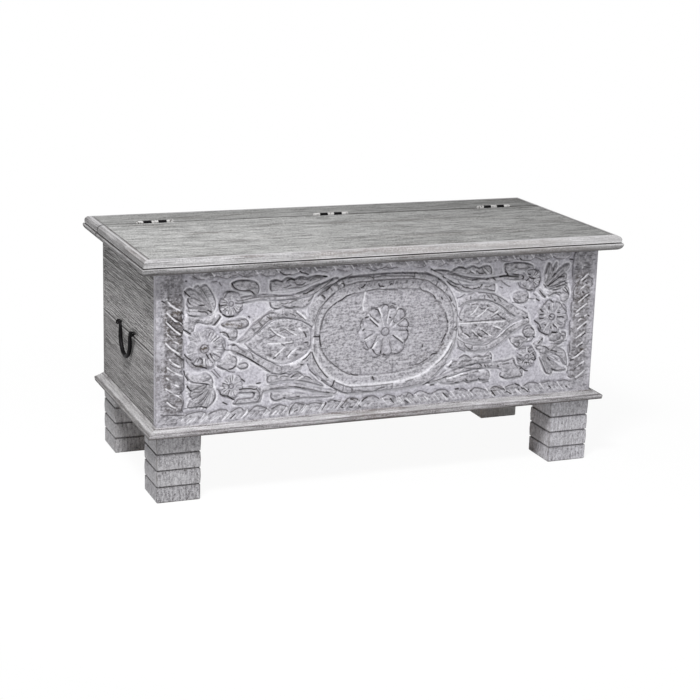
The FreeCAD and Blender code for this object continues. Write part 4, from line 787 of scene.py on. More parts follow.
def age(front):
    """The plain margin, the tool marks and pits, the painted shadow below the lid, and where paint
    is stained, worn or gone.
    """
    x, z = front.x, front.z

    # The margin round the carving is left plain.
    margin = np.maximum(np.maximum(np.abs(x) - field_side, field_foot - z), z - field_head)
    front.cover(slice(None), held(margin / 1.5 + 0.5), 0.3, 0.45, 0.0, 0.0)

    # The ground keeps the gouge's marks, and the upper left border is pitted by worm.
    ground = 1 - front.rubbed
    front.depth += 0.4 * ground * speckle(x, z, 9, 1) + 0.22 * speckle(x, z, 18, 3)
    pits = held(speckle(x, z, 3.4, 5) * 2.5 - 0.6) * (hill(x + 478, 26) * hill(z - 450, 42))
    front.depth += 1.1 * pits
    front.shade = np.maximum(front.shade, 0.75 * pits)

    # The arrises at both ends are rounded, and a painted shadow of the lid lies dark below the top
    # border's edge.
    arris = held(1 - (board_side - np.abs(x)) / 3)
    front.depth = np.maximum(front.depth, 0.0) + 1.6 * arris**2
    painted_lid_shadow = hill(z - 487, 4.5) * held(speckle(x, z * 0.3, 15, 6) + 0.35)
    front.shade = np.maximum(front.shade, 0.75 * painted_lid_shadow)

    # The side borders are stained and worn brown, most on the left and above their middle.
    borders = held((-452 - x) / 4) * held((x + 497) / 8)
    borders = borders * (0.95 + 0.3 * held((z - 320) / 80) * (z < 425))
    borders += 0.72 * held((x - 454) / 4) * held((498 - x) / 8)
    borders *= held((z - 186) / 10, 0.25)
    left_edge = held((-494 - x) / 6) * held(0.75 + speckle(x, z, 9, 12))
    front.shade = np.maximum(front.shade, 0.55 * borders * (front.whitewash_and_highlight < 0.3)
                             * held(0.6 + 1.2 * speckle(x, z, 4, 8)))
    worn = 0.42 + 0.6 * hill(z - 385, 50) + 0.25 * speckle(x, z, 34, 11)
    worn = held(worn) * held((462 - z) / 30, 0.12)
    front.brown = np.maximum(borders * worn, 0.12 * front.rubbed)
    front.brown = np.maximum(front.brown, 0.45 * left_edge * hill(z - 270, 90))
    front.shade = np.maximum(front.shade, 0.24 * left_edge)

    # In single places the paint is gone.
    for patch_x, patch_z, half_wide, half_high, strength in bare_patches:
        bare = strength * (hill(x - patch_x, half_wide) * hill(z - patch_z, half_high))
        front.brown = np.maximum(front.brown, bare)


def carve(mesh):
    """The mesh's points in metres, and the relief at them, cut from the borders inwards."""
    spots = np.empty(len(mesh.vertices) * 3, np.float32)
    mesh.vertices.foreach_get("co", spots)
    spots = spots.reshape(-1, 3).astype(float)
    front = Relief(spots[:, 0] * 1000, spots[:, 2] * 1000)
    for work in (cut_borders, cut_medallion, cut_leaves, cut_flowers, cut_single_lines, age):
        work(front)
    return spots, front


carving_step = 1.15
front_triangles = 188000
snap_reach = 0.0005
board_wide = (front_high.x - front_low.x) * 1000
board_tall = (front_high.z - front_low.z) * 1000
across, up = round(board_wide / carving_step), round(board_tall / carving_step)
shape = bmesh.new()
place = (Matrix.Translation(((front_low.x + front_high.x) / 2, front_low.y,
                             (front_low.z + front_high.z) / 2))
         @ Matrix.Rotation(math.pi / 2, 4, "X")
         @ Matrix.Diagonal((board_wide / 1000, board_tall / 1000, 1, 1)))
bmesh.ops.create_grid(shape, x_segments=across, y_segments=up, size=0.5, matrix=place)
front_mesh = bpy.data.meshes.new("front_board_carved")
shape.to_mesh(front_mesh)
shape.free()
spots, relief = carve(front_mesh)
spots[:, 1] = front_low.y + relief.depth / 1000
front_mesh.vertices.foreach_set("co", spots.astype(np.float32).ravel())
front_board = bpy.data.objects.new("front_board_carved", front_mesh)
bpy.context.scene.collection.objects.link(front_board)

# The carved grid is thinned where the surface is plain, and keeps its faces along the cuts.
cut_lines = front_board.vertex_groups.new(name="cut_lines")
drawn = held(np.maximum(relief.shade, relief.whitewash_and_highlight))
for level in (0.2, 0.4, 0.6, 0.8, 1.0):
    chosen = np.nonzero((drawn > level - 0.2) & (drawn <= level))[0]
    cut_lines.add([int(n) for n in chosen], level, "REPLACE")
fewer_faces = front_board.modifiers.new("fewer_faces", "DECIMATE")
fewer_faces.ratio = front_triangles / (across * up * 2)
fewer_faces.vertex_group = "cut_lines"
fewer_faces.invert_vertex_group = True
fewer_faces.vertex_group_factor = 0.001
bpy.context.view_layer.update()
thinned = bpy.data.meshes.new_from_object(front_board.evaluated_get(
    bpy.context.evaluated_depsgraph_get()))
front_board.modifiers.clear()
front_board.vertex_groups.clear()
front_board.data = thinned

# Its rim is put back on the board's edges and drawn back to the inner face, which closes it.
shape = bmesh.new()
shape.from_mesh(thinned)
for vertex in shape.verts:
    if vertex.is_boundary:
        reach_x = min(abs(vertex.co.x - front_low.x), abs(vertex.co.x - front_high.x))
        reach_z = min(abs(vertex.co.z - front_low.z), abs(vertex.co.z - front_high.z))
        if reach_x < snap_reach:
            vertex.co.x = front_low.x if vertex.co.x < 0 else front_high.x
        if reach_z < snap_reach:
            low_edge = vertex.co.z < (front_low.z + front_high.z) / 2
            vertex.co.z = front_low.z if low_edge else front_high.z
rim_edges = [edge for edge in shape.edges if edge.is_boundary]
pulled = bmesh.ops.extrude_edge_only(shape, edges=rim_edges)["geom"]
back_edges = [part for part in pulled if isinstance(part, bmesh.types.BMEdge)
              and part.is_boundary]
for part in pulled:
    if isinstance(part, bmesh.types.BMVert):
        part.co.y = front_high.y
bmesh.ops.contextual_create(shape, geom=back_edges)
bmesh.ops.recalc_face_normals(shape, faces=shape.faces)
for face in shape.faces:
    face.smooth = True
    face.material_index = int(min(v.co.y for v in face.verts) > front_high.y - 0.001)
for edge in rim_edges + back_edges:
    edge.smooth = False
shape.to_mesh(thinned)
shape.free()
spots, relief = carve(thinned)
carved_face = spots[:, 1] < front_high.y - 0.001
for name in ("rubbed", "shade", "whitewash_and_highlight", "brown"):
    layer = thinned.attributes.new(name, "FLOAT", "POINT")
    values = getattr(relief, name) * carved_face
    layer.data.foreach_set("value", values.astype(np.float32))


def srgb(text):
    """A hex colour as the linear one that a shader takes."""
    parts = [int(text[n:n + 2], 16) / 255 for n in (1, 3, 5)]
    return [v / 12.92 if v <= 0.04045 else ((v + 0.055) / 1.055)**2.4 for v in parts] + [1]


def add(tree, kind, inputs=None, out=0, **settings):
    """A node with its settings, its sockets set to values or linked; gives back one output."""
    node = tree.nodes.new("ShaderNode" + kind)
    for name, value in settings.items():
        setattr(node, name, value)
    for socket, value in (inputs or {}).items():
        if isinstance(value, bpy.types.NodeSocket):
            tree.links.new(value, node.inputs[socket])
        else:
            node.inputs[socket].default_value = value
    return node.outputs[out]


def finish_material(name):
    """An empty material using nodes, and its tree and shader."""
    material = bpy.data.materials.new(name)
    material.use_nodes = True
    tree = material.node_tree
    shader = tree.nodes["Principled BSDF"]
    return material, tree, shader


# The patterns in the wood, by their real sizes: growth rings about 9 mm apart, blotches of thick
# and thin paint about 290 by 40 mm, mottling of 5 mm, combed ridges of 5.4 mm and grit of 3 mm.
# The ridges are drawn coarser than the real ones, so that they show.
ring_scale = 34.0
blotch_scale = (3.5, 26, 26)
mottle_scale = 190.0
comb_scale = 58.0
grit_scale = 330.0
grain_turns = {"x": (0, 0, 0), "y": (0, 0, -math.pi / 2), "z": (0, math.pi / 2, 0)}


def wood_grain(tree, along, shift, streak, length):
    """Fine streaks, broad blotches and growth rings that run along one axis of the part.

    Streak is half the width of a streak in millimetres, length how many times longer it is."""
    spot = add(tree, "TexCoord", out="Object")
    laid = add(tree, "Mapping", {"Vector": spot, "Rotation": grain_turns[along]})
    laid = add(tree, "Mapping", {"Vector": laid, "Location": shift})
    across = 1000 / streak
    streaks = add(tree, "Mapping", {"Vector": laid, "Scale": (across / length, across, across)})
    fine = add(tree, "TexNoise", {"Vector": streaks, "Scale": 0.5, "Detail": 4.0,
                                  "Roughness": 0.68})
    blotches = add(tree, "Mapping", {"Vector": laid, "Scale": blotch_scale})
    broad = add(tree, "TexNoise", {"Vector": blotches, "Scale": 1.0, "Detail": 3.0,
                                   "Roughness": 0.55})
    heart = add(tree, "Mapping", {"Vector": laid, "Location": (0, 0.02, 0.06),
                                  "Scale": (0.16, 1, 1)})
    rings = add(tree, "TexWave", {"Vector": heart, "Scale": ring_scale, "Distortion": 7.0,
                                  "Detail": 3.0, "Detail Scale": 2.6},
                "Fac", wave_type="RINGS", rings_direction="X")
    return fine, broad, rings


# Whitewash over mango wood, rubbed back: chalky and quite matt, cool and lilac where it lies thick
# in the ground, grey with the grain drawn in it on the tops, and dark stain in the corners. The
# same dark also paints the lid's shadow below the top border, and the same white paints highlights
# on the bevels that face the light and on the tops' arrises.
carved_finish, tree, shader = finish_material("rubbed_whitewash_on_carving")
fine, broad, rings = wood_grain(tree, "x", (0, 0, 0), 2.2, 3)
mottle = add(tree, "TexNoise", {"Vector": add(tree, "TexCoord", out="Object"),
                                "Scale": mottle_scale, "Detail": 4.0, "Roughness": 0.7})
tone = add(tree, "Math", {0: fine, 1: mottle}, operation="ADD")
rubbed, shade, whitewash_and_highlight, brown = [add(tree, "Attribute", out="Fac", attribute_name=name)
                              for name in ("rubbed", "shade", "whitewash_and_highlight", "brown")]
mottled = add(tree, "MapRange", {0: mottle, 1: 0.35, 2: 0.6})
thick_paint = add(tree, "Mix", {0: mottled, 6: srgb("#9D9BA3"), 7: srgb("#C6C4CC")}, 2,
                  data_type="RGBA")
grained = add(tree, "MapRange", {0: tone, 1: 0.82, 2: 1.12})
thin_paint = add(tree, "Mix", {0: grained, 6: srgb("#717075"), 7: srgb("#BFBDC3")}, 2,
                 data_type="RGBA")
patchy = add(tree, "MapRange", {0: broad, 1: 0.35, 2: 0.65, 3: 0.65, 4: 1.0})
top_share = add(tree, "Math", {0: rubbed, 1: patchy}, operation="MULTIPLY")
colour = add(tree, "Mix", {0: top_share, 6: thick_paint, 7: thin_paint}, 2, data_type="RGBA")
# Bare brown wood, then the dark layer: stain, and painted shadow below the top border; then the
# white layer: whitewash, and painted highlight on lit bevels and arrises.
for layer, pattern, low, high, to_low, to_high, paint in (
        (brown, tone, 0.86, 1.08, 1.0, 0.2, "#57504B"),
        (shade, mottle, 0.35, 0.55, 0.8, 1.05, "#2E2A2C"),
        (whitewash_and_highlight, mottle, 0.3, 0.6, 0.6, 1.0, "#E4E3E8")):
    broken = add(tree, "MapRange", {0: pattern, 1: low, 2: high, 3: to_low, 4: to_high})
    share = add(tree, "Math", {0: layer, 1: broken}, operation="MULTIPLY", use_clamp=True)
    colour = add(tree, "Mix", {0: share, 6: colour, 7: srgb(paint)}, 2, data_type="RGBA")
tree.links.new(colour, shader.inputs["Base Color"])
shader.inputs["Roughness"].default_value = 0.72
shader.inputs["IOR"].default_value = 1.45
shader.inputs["Specular IOR Level"].default_value = 0.3
bump = add(tree, "Bump", {"Strength": 0.9, "Distance": 0.0014, "Height": tone})
tree.links.new(bump, shader.inputs["Normal"])
front_board.data.materials.clear()
front_board.data.materials.append(carved_finish)


# Whitewash brushed over planed mango wood: chalky and matt, with the grain standing through it
# as fine dark lines and pale crests, and the stain showing where arrises are worn.
def washed_wood(name, along, shift, pale, grey, dark, length, streak=2.4, box=None,
                ring_share=0.45, gritty=1.0, contrast=0.16, combed=0.0, comb_across="Z",
                browned=0.0, bands=(), lines=(), right_end_darkening=0.0):
    """Whitewash over wood, with darker rings and thin places, and arrises worn to the stain.

    Combed is how strongly the raised grain shows as lines, browned how bare its worn spots are,
    bands are heights in millimetres with how white (over 0.5) or how dark (under 0.5) the paint is
    there, and on the mouldings, base and feet they also give painted shade and painted highlight,
    lines are joints and ridges given by their axis, place, reach in millimetres, share and colour,
    some of them painted shade or painted highlight beside a joint, and right_end_darkening is how
    much darker the colour grows towards the right end, or lighter if negative."""
    material, tree, shader = finish_material(name)
    fine, broad, rings = wood_grain(tree, along, shift, streak, length)
    spot = add(tree, "TexCoord", out="Object")
    grit = add(tree, "TexNoise", {"Vector": spot, "Scale": grit_scale, "Detail": 3.0,
                                  "Roughness": 0.7})
    grit = add(tree, "Math", {0: grit, 1: gritty, 2: 0.5 - 0.5 * gritty},
               operation="MULTIPLY_ADD")
    tone = add(tree, "Math", {0: fine, 1: grit}, operation="ADD")
    height = tone
    painted = add(tree, "MapRange", {0: tone, 1: 1 - contrast, 2: 1 + contrast})
    colour = add(tree, "Mix", {0: painted, 6: srgb(grey), 7: srgb(pale)}, 2, data_type="RGBA")
    if combed:
        drawn_out = {"x": (0.25, 1, 1), "y": (1, 0.25, 1), "z": (1, 1, 0.25)}[along]
        ridges = add(tree, "Mapping", {"Vector": spot, "Location": shift, "Scale": drawn_out})
        comb = add(tree, "TexWave", {"Vector": ridges, "Scale": comb_scale, "Distortion": 4.5,
                                     "Detail": 3.0, "Detail Scale": 2.0},
                   "Fac", wave_type="BANDS", bands_direction=comb_across)
        furrow = add(tree, "MapRange", {0: comb, 1: 0.35, 2: 0.0, 3: 0.0, 4: combed})
        broken = add(tree, "MapRange", {0: grit, 1: 0.3, 2: 0.6, 3: 1.0, 4: 0.3})
        furrow = add(tree, "Math", {0: furrow, 1: broken}, operation="MULTIPLY")
        colour = add(tree, "Mix", {0: furrow, 6: colour, 7: srgb(dark)}, 2, data_type="RGBA")
        crest = add(tree, "MapRange", {0: comb, 1: 0.72, 2: 1.0, 3: 0.0, 4: 0.5 * combed})
        colour = add(tree, "Mix", {0: crest, 6: colour, 7: srgb("#D2D1D1")}, 2, data_type="RGBA")
        height = add(tree, "Math", {0: tone, 1: comb}, operation="ADD")
    deep = add(tree, "MapRange", {0: rings, 1: 0.3, 2: 0.9, 3: 0.0, 4: ring_share})
    broken = add(tree, "MapRange", {0: broad, 1: 0.38, 2: 0.62, 3: 0.1, 4: 1.0})
    deep = add(tree, "Math", {0: deep, 1: broken}, operation="MULTIPLY")
    colour = add(tree, "Mix", {0: deep, 6: colour, 7: srgb(dark)}, 2, data_type="RGBA")
    cracks = add(tree, "MapRange", {0: tone, 1: 0.74, 2: 0.86, 3: 0.9, 4: 0.0})
    colour = add(tree, "Mix", {0: cracks, 6: colour, 7: srgb(dark)}, 2, data_type="RGBA")
    if browned:
        bare = add(tree, "MapRange", {0: broad, 1: 0.56, 2: 0.64, 3: 0.0, 4: browned})
        broken = add(tree, "MapRange", {0: grit, 1: 0.4, 2: 0.6, 3: 1.0, 4: 0.2})
        bare = add(tree, "Math", {0: bare, 1: broken}, operation="MULTIPLY")
        colour = add(tree, "Mix", {0: bare, 6: colour, 7: srgb("#5C4C43")}, 2, data_type="RGBA")
    if box:
        low, high = box
        middle, half = (low + high) / 2, (high - low) / 2
        away = add(tree, "VectorMath", {0: spot, 1: middle}, operation="SUBTRACT")
        away = add(tree, "VectorMath", {0: away}, operation="ABSOLUTE")
        away = add(tree, "VectorMath", {0: half, 1: away}, operation="SUBTRACT")
        a, b, c = add(tree, "SeparateXYZ", {0: away}).node.outputs
        lesser = add(tree, "Math", {0: a, 1: b}, operation="MINIMUM")
        greater = add(tree, "Math", {0: a, 1: b}, operation="MAXIMUM")
        other = add(tree, "Math", {0: greater, 1: c}, operation="MINIMUM")
        edge = add(tree, "Math", {0: lesser, 1: other}, operation="MAXIMUM")
        bite = add(tree, "MapRange", {0: broad, 1: 0.35, 2: 0.65, 3: 0.0006, 4: 0.0034})
        wear = add(tree, "Math", {0: edge, 1: bite}, operation="DIVIDE")
        worn = add(tree, "MapRange", {0: wear, 1: 0.4, 2: 1.1, 3: 0.65, 4: 0.0})
        colour = add(tree, "Mix", {0: worn, 6: colour, 7: srgb("#5A5654")}, 2, data_type="RGBA")
    ways = add(tree, "SeparateXYZ", {0: spot}).node.outputs
    # The colour grows darker towards the right end, or paler where the share is negative.
    if right_end_darkening:
        towards_right_end = add(tree, "MapRange", {0: ways[0], 1: -0.25, 2: 0.55, 3: 0.0, 4: abs(right_end_darkening)})
        paint = srgb(dark if right_end_darkening > 0 else "#E2E1E2")
        colour = add(tree, "Mix", {0: towards_right_end, 6: colour, 7: paint}, 2, data_type="RGBA")
    if bands:
        low, high = bands[0][0] / 1000, bands[-1][0] / 1000
        value = add(tree, "ValToRGB", {0: add(tree, "MapRange", {0: ways[2], 1: low, 2: high})})
        ramp = value.node.color_ramp.elements
        for level, _ in bands[1:-1]:
            ramp.new((level / 1000 - low) / (high - low))
        for element, (_, white) in zip(ramp, bands):
            element.color = (white, white, white, 1)
        for end, paint in ((0.0, srgb(dark)), (1.0, srgb("#E2E1E2"))):
            share = add(tree, "MapRange", {0: value, 1: 0.5, 2: end})
            colour = add(tree, "Mix", {0: share, 6: colour, 7: paint}, 2, data_type="RGBA")
    for axis, place, reach, share, line_colour in lines:
        away = add(tree, "Math", {0: ways["xyz".index(axis)], 1: place}, operation="SUBTRACT")
        away = add(tree, "Math", {0: away}, operation="ABSOLUTE")
        drawn = add(tree, "MapRange", {0: away, 1: 0.0004 * reach, 2: 0.001 * reach, 3: share,
                                       4: 0.0})
        broken = add(tree, "MapRange", {0: broad, 1: 0.35, 2: 0.6, 3: 0.55, 4: 1.0})
        drawn = add(tree, "Math", {0: drawn, 1: broken}, operation="MULTIPLY")
        colour = add(tree, "Mix", {0: drawn, 6: colour, 7: srgb(line_colour)}, 2, data_type="RGBA")
    tree.links.new(colour, shader.inputs["Base Color"])
    shader.inputs["Roughness"].default_value = 0.7
    shader.inputs["IOR"].default_value = 1.45
    shader.inputs["Specular IOR Level"].default_value = 0.3
    bump = add(tree, "Bump", {"Strength": 0.8, "Distance": 0.0012, "Height": height})
    tree.links.new(bump, shader.inputs["Normal"])
    return material


front_board.data.materials.append(washed_wood("washed_front_board_back", "x", (0.6, 0.2, 0.4),
                                              "#B2B0AE", "#6E6C6A", "#383633", 20, combed=0.8))
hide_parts("front_panel")
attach(front_board, "case")


# Side and back boards. Three planks of mango wood on each side and at the back, butted edge to
# edge with visible joints, left less white than the front, with the grain raised along them.
def dress(name, material):
    """Gives a CAD piece its finish."""
    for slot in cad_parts[name].material_slots:
        slot.material = material


for number, (side, row) in enumerate((s, r) for s in ("left_side", "right_side", "back")
                                     for r in ("lower", "middle", "upper")):
    piece = f"{side}_board_{row}"
    joints = [end.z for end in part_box(f"{side}_board_middle")]
    lines = [("z", joint, 2.2, 0.8, "#343231") for joint in joints]
    # Below each joint a pale line is painted highlight on the lower board's top arris; the dark
    # line on the joint is the joint itself.
    lines += [("z", joint - 0.0035, 2, 0.55, "#D2D1D2") for joint in joints]
    pale = {"lower": "#A6A4A4", "middle": "#BAB8B8", "upper": "#BEBCBC"}[row]
    dress(piece, washed_wood(f"washed_{piece}", "x" if side == "back" else "y",
                             (0.31 * number, 0.013 * number, 0.17 * number),
                             pale, "#686666", "#343231", 20, box=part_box(piece),
                             ring_share=0.8 if row == "upper" else 0.45,
                             combed=0.5 if row == "lower" else 0.85,
                             contrast=0.18 if row == "lower" else 0.13, lines=lines))


# Moulded base. Four sticks under the chest, mitred at the front, with a bead along the nose, in the
# same whitewashed wood, with streaks where hands and feet have rubbed it. The marks are the heights
# of its coves and beads in millimetres, with how white the paint is there; the near black at its
# underside and the dark in the cove are painted shade, and the white on the bead is paint and
# painted highlight.
base_paint_and_painted_light = [(148, 0.02), (150, 0.2), (153, 0.4), (156, 0.5), (157.2, 0.2), (158.2, 0.3),
              (159.5, 0.64), (163, 0.6), (164.2, 0.4), (165, 0.55), (166, 0.5)]
for number, piece in enumerate(("base_frame_front", "base_frame_left", "base_frame_right",
                                "base_frame_back")):
    on_end = piece in ("base_frame_left", "base_frame_right")
    dress(piece, washed_wood(f"washed_{piece}", "y" if on_end else "x",
                             (0.27 * number + 5, 0.021 * number, 0.11 * number),
                             "#B4B3B3" if piece == "base_frame_left" else "#C6C4C7",
                             "#827F81", "#413C3A", 12, box=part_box(piece), contrast=0.15,
                             bands=base_paint_and_painted_light, browned=0.5))


# Feet. Four blocks of end-stacked wood, sawn with grooves into four pillows, with the paint brushed
# on upright and speckled with the dark wood. The marks darken the bottom, the top under the base
# and the middle of each groove as painted shade, and whiten the edge above each groove as painted
# highlight. The paint is paler on some feet; on the back right foot, far paler, it is painted light
# that makes up for the chest's shade over it.
foot_paint_and_painted_light = [(0, 0.35), (3, 0.5)]
for groove in (34.5, 70.5, 106.5):
    foot_paint_and_painted_light += [(groove - 3.5, 0.5), (groove - 1.5, 0.3), (groove + 1.5, 0.3),
                   (groove + 3.5, 0.56)]
foot_paint_and_painted_light += [(140, 0.5), (148, 0.3)]
for number, (corner, pale, grey, gritty) in enumerate((
        ("front_left", "#B5B4B7", "#7B797D", 1.0), ("front_right", "#CCCBD0", "#8F8D92", 0.8),
        ("back_left", "#BCBBBD", "#828083", 0.8), ("back_right", "#EAEAEB", "#BEBDBE", 0.4))):
    piece = f"foot_{corner}"
    dress(piece, washed_wood(f"washed_{piece}", "z", (0.13 * number + 9, 0.07 * number, 0.05),
                             pale, grey, "#45413F", 3, box=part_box(piece), streak=2.0,
                             ring_share=0.2, gritty=gritty, bands=foot_paint_and_painted_light))


# Lid and rail. Wide planks, with a mitred moulding round them. The flat of the top is grey and
# hardly painted, with its grain showing, and the moulding is paler, with brown rubbed spots. The
# marks are the heights of the moulding's steps and beads with how white or dark it is there: the
# dark under the nose and in the quirks is painted shade, and the white on the nose and on the
# band's edges painted highlight. The lines are its joints, with painted highlight and painted shade
# beside some of them.
lid_seam = (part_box("lid_board_back")[1].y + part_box("top_back_rail")[0].y) / 2
board_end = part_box("lid_board_front")[0].x
board_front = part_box("lid_board_front")[0].y
# Dark along the lid's hinge seam, about 6 mm each way, is the gap and painted shade on the rounded
# edges beside it.
painted_seam_shadow = ("y", lid_seam, 6, 0.85, "#3B3938")
board_ends = [("x", end, 2.2, 0.75, "#4A4847") for end in (board_end, -board_end)]
# On the end mouldings, beside each board's end joint, a pale line is painted highlight on the arris
# and a dark one beyond it painted shade on the moulding.
end_joints_and_painted_light = [line for joint in board_ends
             for line in (joint, ("x", joint[1] * 1.012, 3, 0.6, "#D6D5D7"),
                          ("x", joint[1] * 1.03, 1.8, 0.5, "#4A4847"))]
# On the front moulding a pale line 6 mm out from the board's joint is painted highlight on the
# arris.
front_joint_and_painted_highlight = [("y", board_front, 1.6, 0.35, "#5E5C5C"),
               ("y", board_front - 0.006, 3, 0.5, "#DAD9DB")]
moulding_paint_and_painted_light = [(495, 0.3), (496, 0.1), (498, 0.14), (502, 0.3), (506, 0.38), (509, 0.46),
                  (510.5, 0.75), (511.2, 0.02), (512.8, 0.02), (513.6, 1.0), (515, 0.66),
                  (518.2, 0.62), (519, 0.8), (519.6, 0.1), (520.2, 0.8), (521, 0.56), (528, 0.56)]
for number, piece in enumerate(("lid_board_front", "lid_board_middle", "lid_board_back",
                                "top_back_rail")):
    pale, contrast = ("#B4B4B3", 0.12) if piece == "top_back_rail" else ("#D0D0CF", 0.13)
    dress(piece, washed_wood(f"washed_{piece}", "x", (0.41 * number, 0.03 * number, 0.012 * number),
                             pale, "#7A7A79", "#3F3F3D", 14, streak=2.2, gritty=0.9,
                             contrast=contrast, combed=0.3, comb_across="Y", browned=0.25,
                             right_end_darkening=0.28, lines=[painted_seam_shadow] + board_ends))
for number, (piece, along) in enumerate((
        ("lid_front_moulding", "x"), ("lid_left_moulding", "y"), ("lid_right_moulding", "y"),
        ("rail_left_moulding", "y"), ("rail_right_moulding", "y"), ("rail_back_moulding", "x"))):
    pale, right_end_darkening, browned, lines = {
        "x": ("#B8B7B9", -0.3, 0.7, front_joint_and_painted_highlight),
        "y": ("#B0AFB0", 0.0, 0.4, end_joints_and_painted_light + [painted_seam_shadow])}[along]
    dress(piece, washed_wood(f"washed_{piece}", along, (0.23 * number + 2, 0.019 * number, 0.3),
                             pale, "#6F6D6E", "#363230", 24, streak=1.8, gritty=0.7,
                             contrast=0.12, right_end_darkening=right_end_darkening, browned=browned,
                             bands=moulding_paint_and_painted_light, lines=lines))


# Inside pieces. The floor boards, the bearer, the battens and the dowels are mango wood as it
# was planed and split: plain, unpainted, light brown and a little silky, with a straight grain.
def bare_wood(name, along, shift, pale, brown):
    """Planed, unpainted wood, with its growth rings as darker lines."""
    material, tree, shader = finish_material(name)
    fine, broad, rings = wood_grain(tree, along, shift, 2.6, 26)
    grained = add(tree, "MapRange", {0: fine, 1: 0.3, 2: 0.7})
    colour = add(tree, "Mix", {0: grained, 6: srgb(brown), 7: srgb(pale)}, 2, data_type="RGBA")
    ringed = add(tree, "MapRange", {0: rings, 1: 0.5, 2: 1.0, 3: 0.0, 4: 0.4})
    colour = add(tree, "Mix", {0: ringed, 6: colour, 7: srgb(brown)}, 2, data_type="RGBA")
    tree.links.new(colour, shader.inputs["Base Color"])
    shader.inputs["Roughness"].default_value = 0.6
    shader.inputs["IOR"].default_value = 1.5
    bump = add(tree, "Bump", {"Strength": 0.35, "Distance": 0.0005, "Height": fine})
    tree.links.new(bump, shader.inputs["Normal"])
    return material


for number, piece in enumerate(("floor_board_front", "floor_board_middle", "floor_board_back")):
    dress(piece, bare_wood(f"planed_{piece}", "x", (0.37 * number, 0.02, 0.1),
                           "#A98E6C", "#86694A"))
for piece in ("floor_bearer", "lid_left_batten", "lid_right_batten"):
    dress(piece, bare_wood(f"planed_{piece}", "y", (0.7, 0.05, 0.1), "#A58A69", "#7F6446"))
dress("corner_dowels", bare_wood("split_dowel_wood", "y", (0.1, 0, 0), "#B49A76", "#8D7150"))
dress("rail_dowels", bare_wood("split_rail_dowel_wood", "y", (0.4, 0, 0), "#B49A76", "#8D7150"))


# Iron and steel. The bails and their staples are forged by hand and blackened in oil, so the
# metal is dark and rough, with hammered flats. The rail's hinge leaves carry the chest's paint.
def forged_iron(name, colour_low, colour_high, rough):
    """A worked metal with a dull, uneven skin, in hammered flats about 7 mm wide."""
    material, tree, shader = finish_material(name)
    skin = add(tree, "TexNoise", {"Vector": add(tree, "TexCoord", out="Object"),
                                  "Scale": 140.0, "Detail": 4.0})
    colour = add(tree, "Mix", {0: skin, 6: srgb(colour_low), 7: srgb(colour_high)}, 2,
                 data_type="RGBA")
    tree.links.new(colour, shader.inputs["Base Color"])
    dull = add(tree, "MapRange", {0: skin, 1: 0.3, 2: 0.7, 3: rough - 0.1, 4: rough + 0.1})
    tree.links.new(dull, shader.inputs["Roughness"])
    shader.inputs["Metallic"].default_value = 0.8
    bump = add(tree, "Bump", {"Strength": 0.5, "Distance": 0.0006, "Height": skin})
    tree.links.new(bump, shader.inputs["Normal"])
    return material


black_iron = forged_iron("blackened_forged_iron", "#0D0C0E", "#1D1C1E", 0.6)
for piece in ("left_bail", "right_bail", "left_handle_staples", "right_handle_staples",
              "left_hinge_lid_leaf", "middle_hinge_lid_leaf", "right_hinge_lid_leaf"):
    dress(piece, black_iron)

# Iron hinge leaves under the same whitewash, matt, with chips about 4 mm wide down to the metal.
painted_iron, tree, shader = finish_material("whitewashed_iron")
chips = add(tree, "TexNoise", {"Vector": add(tree, "TexCoord", out="Object"),
                               "Scale": 260.0, "Detail": 3.0})
chipped = add(tree, "MapRange", {0: chips, 1: 0.56, 2: 0.62})
colour = add(tree, "Mix", {0: chipped, 6: srgb("#BFBEBD"), 7: srgb("#4A4745")}, 2, data_type="RGBA")
tree.links.new(colour, shader.inputs["Base Color"])
shader.inputs["Roughness"].default_value = 0.6
bump = add(tree, "Bump", {"Strength": 0.4, "Distance": 0.0004, "Height": chips})
tree.links.new(bump, shader.inputs["Normal"])
for piece in ("left_hinge_rail_leaf", "middle_hinge_rail_leaf", "right_hinge_rail_leaf",
              "left_hinge_pin", "middle_hinge_pin", "right_hinge_pin"):
    dress(piece, painted_iron)

# Drawn steel wire, for nails and screws: grey, smoother than the forged iron.
steel = forged_iron("drawn_steel", "#6C6A68", "#8D8B88", 0.4)
for piece in ("floor_nails", "base_screws", "foot_screws", "batten_screws", "rail_hinge_screws",
              "lid_hinge_screws"):
    dress(piece, steel)


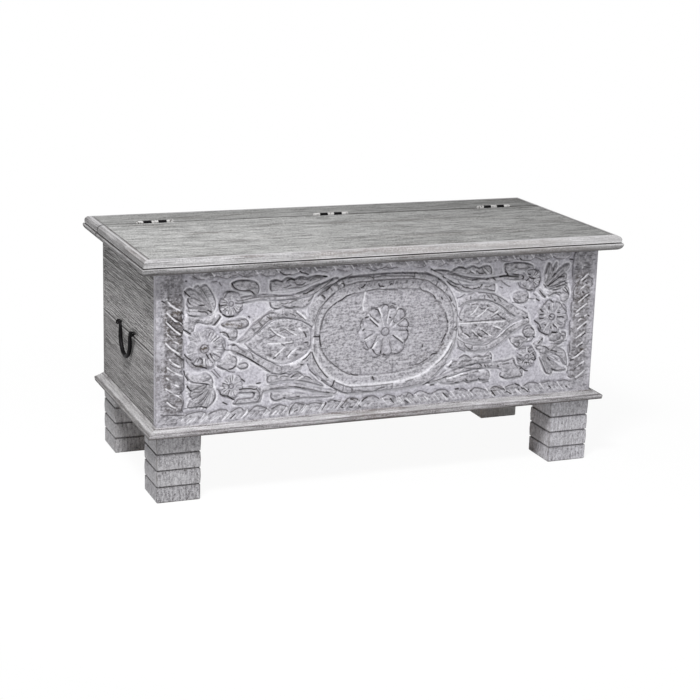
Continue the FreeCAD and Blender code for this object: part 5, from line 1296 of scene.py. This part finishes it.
# Floor, backdrop and lamps: a plain white studio with one large soft lamp high on the left of
# the front, and light from all sides.
shape = bmesh.new()
bmesh.ops.create_grid(shape, x_segments=1, y_segments=1, size=9)
floor_mesh = bpy.data.meshes.new("studio_floor")
shape.to_mesh(floor_mesh)
shape.free()
studio_floor = bpy.data.objects.new("studio_floor", floor_mesh)
bpy.context.scene.collection.objects.link(studio_floor)

# White matt paint, which glows as white as the room for the camera, save under the chest, where
# it keeps a little of the chest's shadow.
floor_paint, tree, shader = finish_material("white_floor")
shader.inputs["Base Color"].default_value = srgb("#FFFFFF")
shader.inputs["Roughness"].default_value = 0.9
rays = add(tree, "LightPath").node.outputs
glow = add(tree, "Emission", {"Color": (1, 1, 1, 1), "Strength": 1.0})
seen = add(tree, "Math", {0: rays["Is Camera Ray"], 1: rays["Is Glossy Ray"]},
           operation="MAXIMUM")
away = add(tree, "VectorMath", {0: add(tree, "TexCoord", out="Object")}, "Value",
           operation="LENGTH")
lit = add(tree, "MapRange", {0: away, 1: 0.7, 2: 1.3, 3: 0.94, 4: 1.0})
share = add(tree, "Math", {0: seen, 1: lit}, operation="MULTIPLY")
blend = add(tree, "MixShader", {0: share, 1: shader.outputs[0], 2: glow})
tree.links.new(blend, tree.nodes["Material Output"].inputs["Surface"])
studio_floor.data.materials.append(floor_paint)

world = bpy.data.worlds.new("white_room")
bpy.context.scene.world = world
world.use_nodes = True
tree = world.node_tree
rays = add(tree, "LightPath").node.outputs
seen = add(tree, "Math", {0: rays["Is Camera Ray"], 1: rays["Is Transmission Ray"]},
           operation="MAXIMUM")
level = add(tree, "MapRange", {0: seen, 1: 0.0, 2: 1.0, 3: 0.26, 4: 1.0})
background = tree.nodes["Background"]
background.inputs["Color"].default_value = (1, 1, 1, 1)
tree.links.new(level, background.inputs["Strength"])

lamp_data = bpy.data.lights.new("soft_key", "AREA")
lamp_data.size = 0.8
lamp_data.energy = 170.0
lamp = bpy.data.objects.new("soft_key", lamp_data)
bpy.context.scene.collection.objects.link(lamp)
lamp.location = (-1.45, -1.9, 3.45)
aim = Vector((0, -0.2, 0.35)) - lamp.location
lamp.rotation_euler = aim.to_track_quat("-Z", "Y").to_euler()

bpy.context.scene.view_settings.view_transform = "Standard"
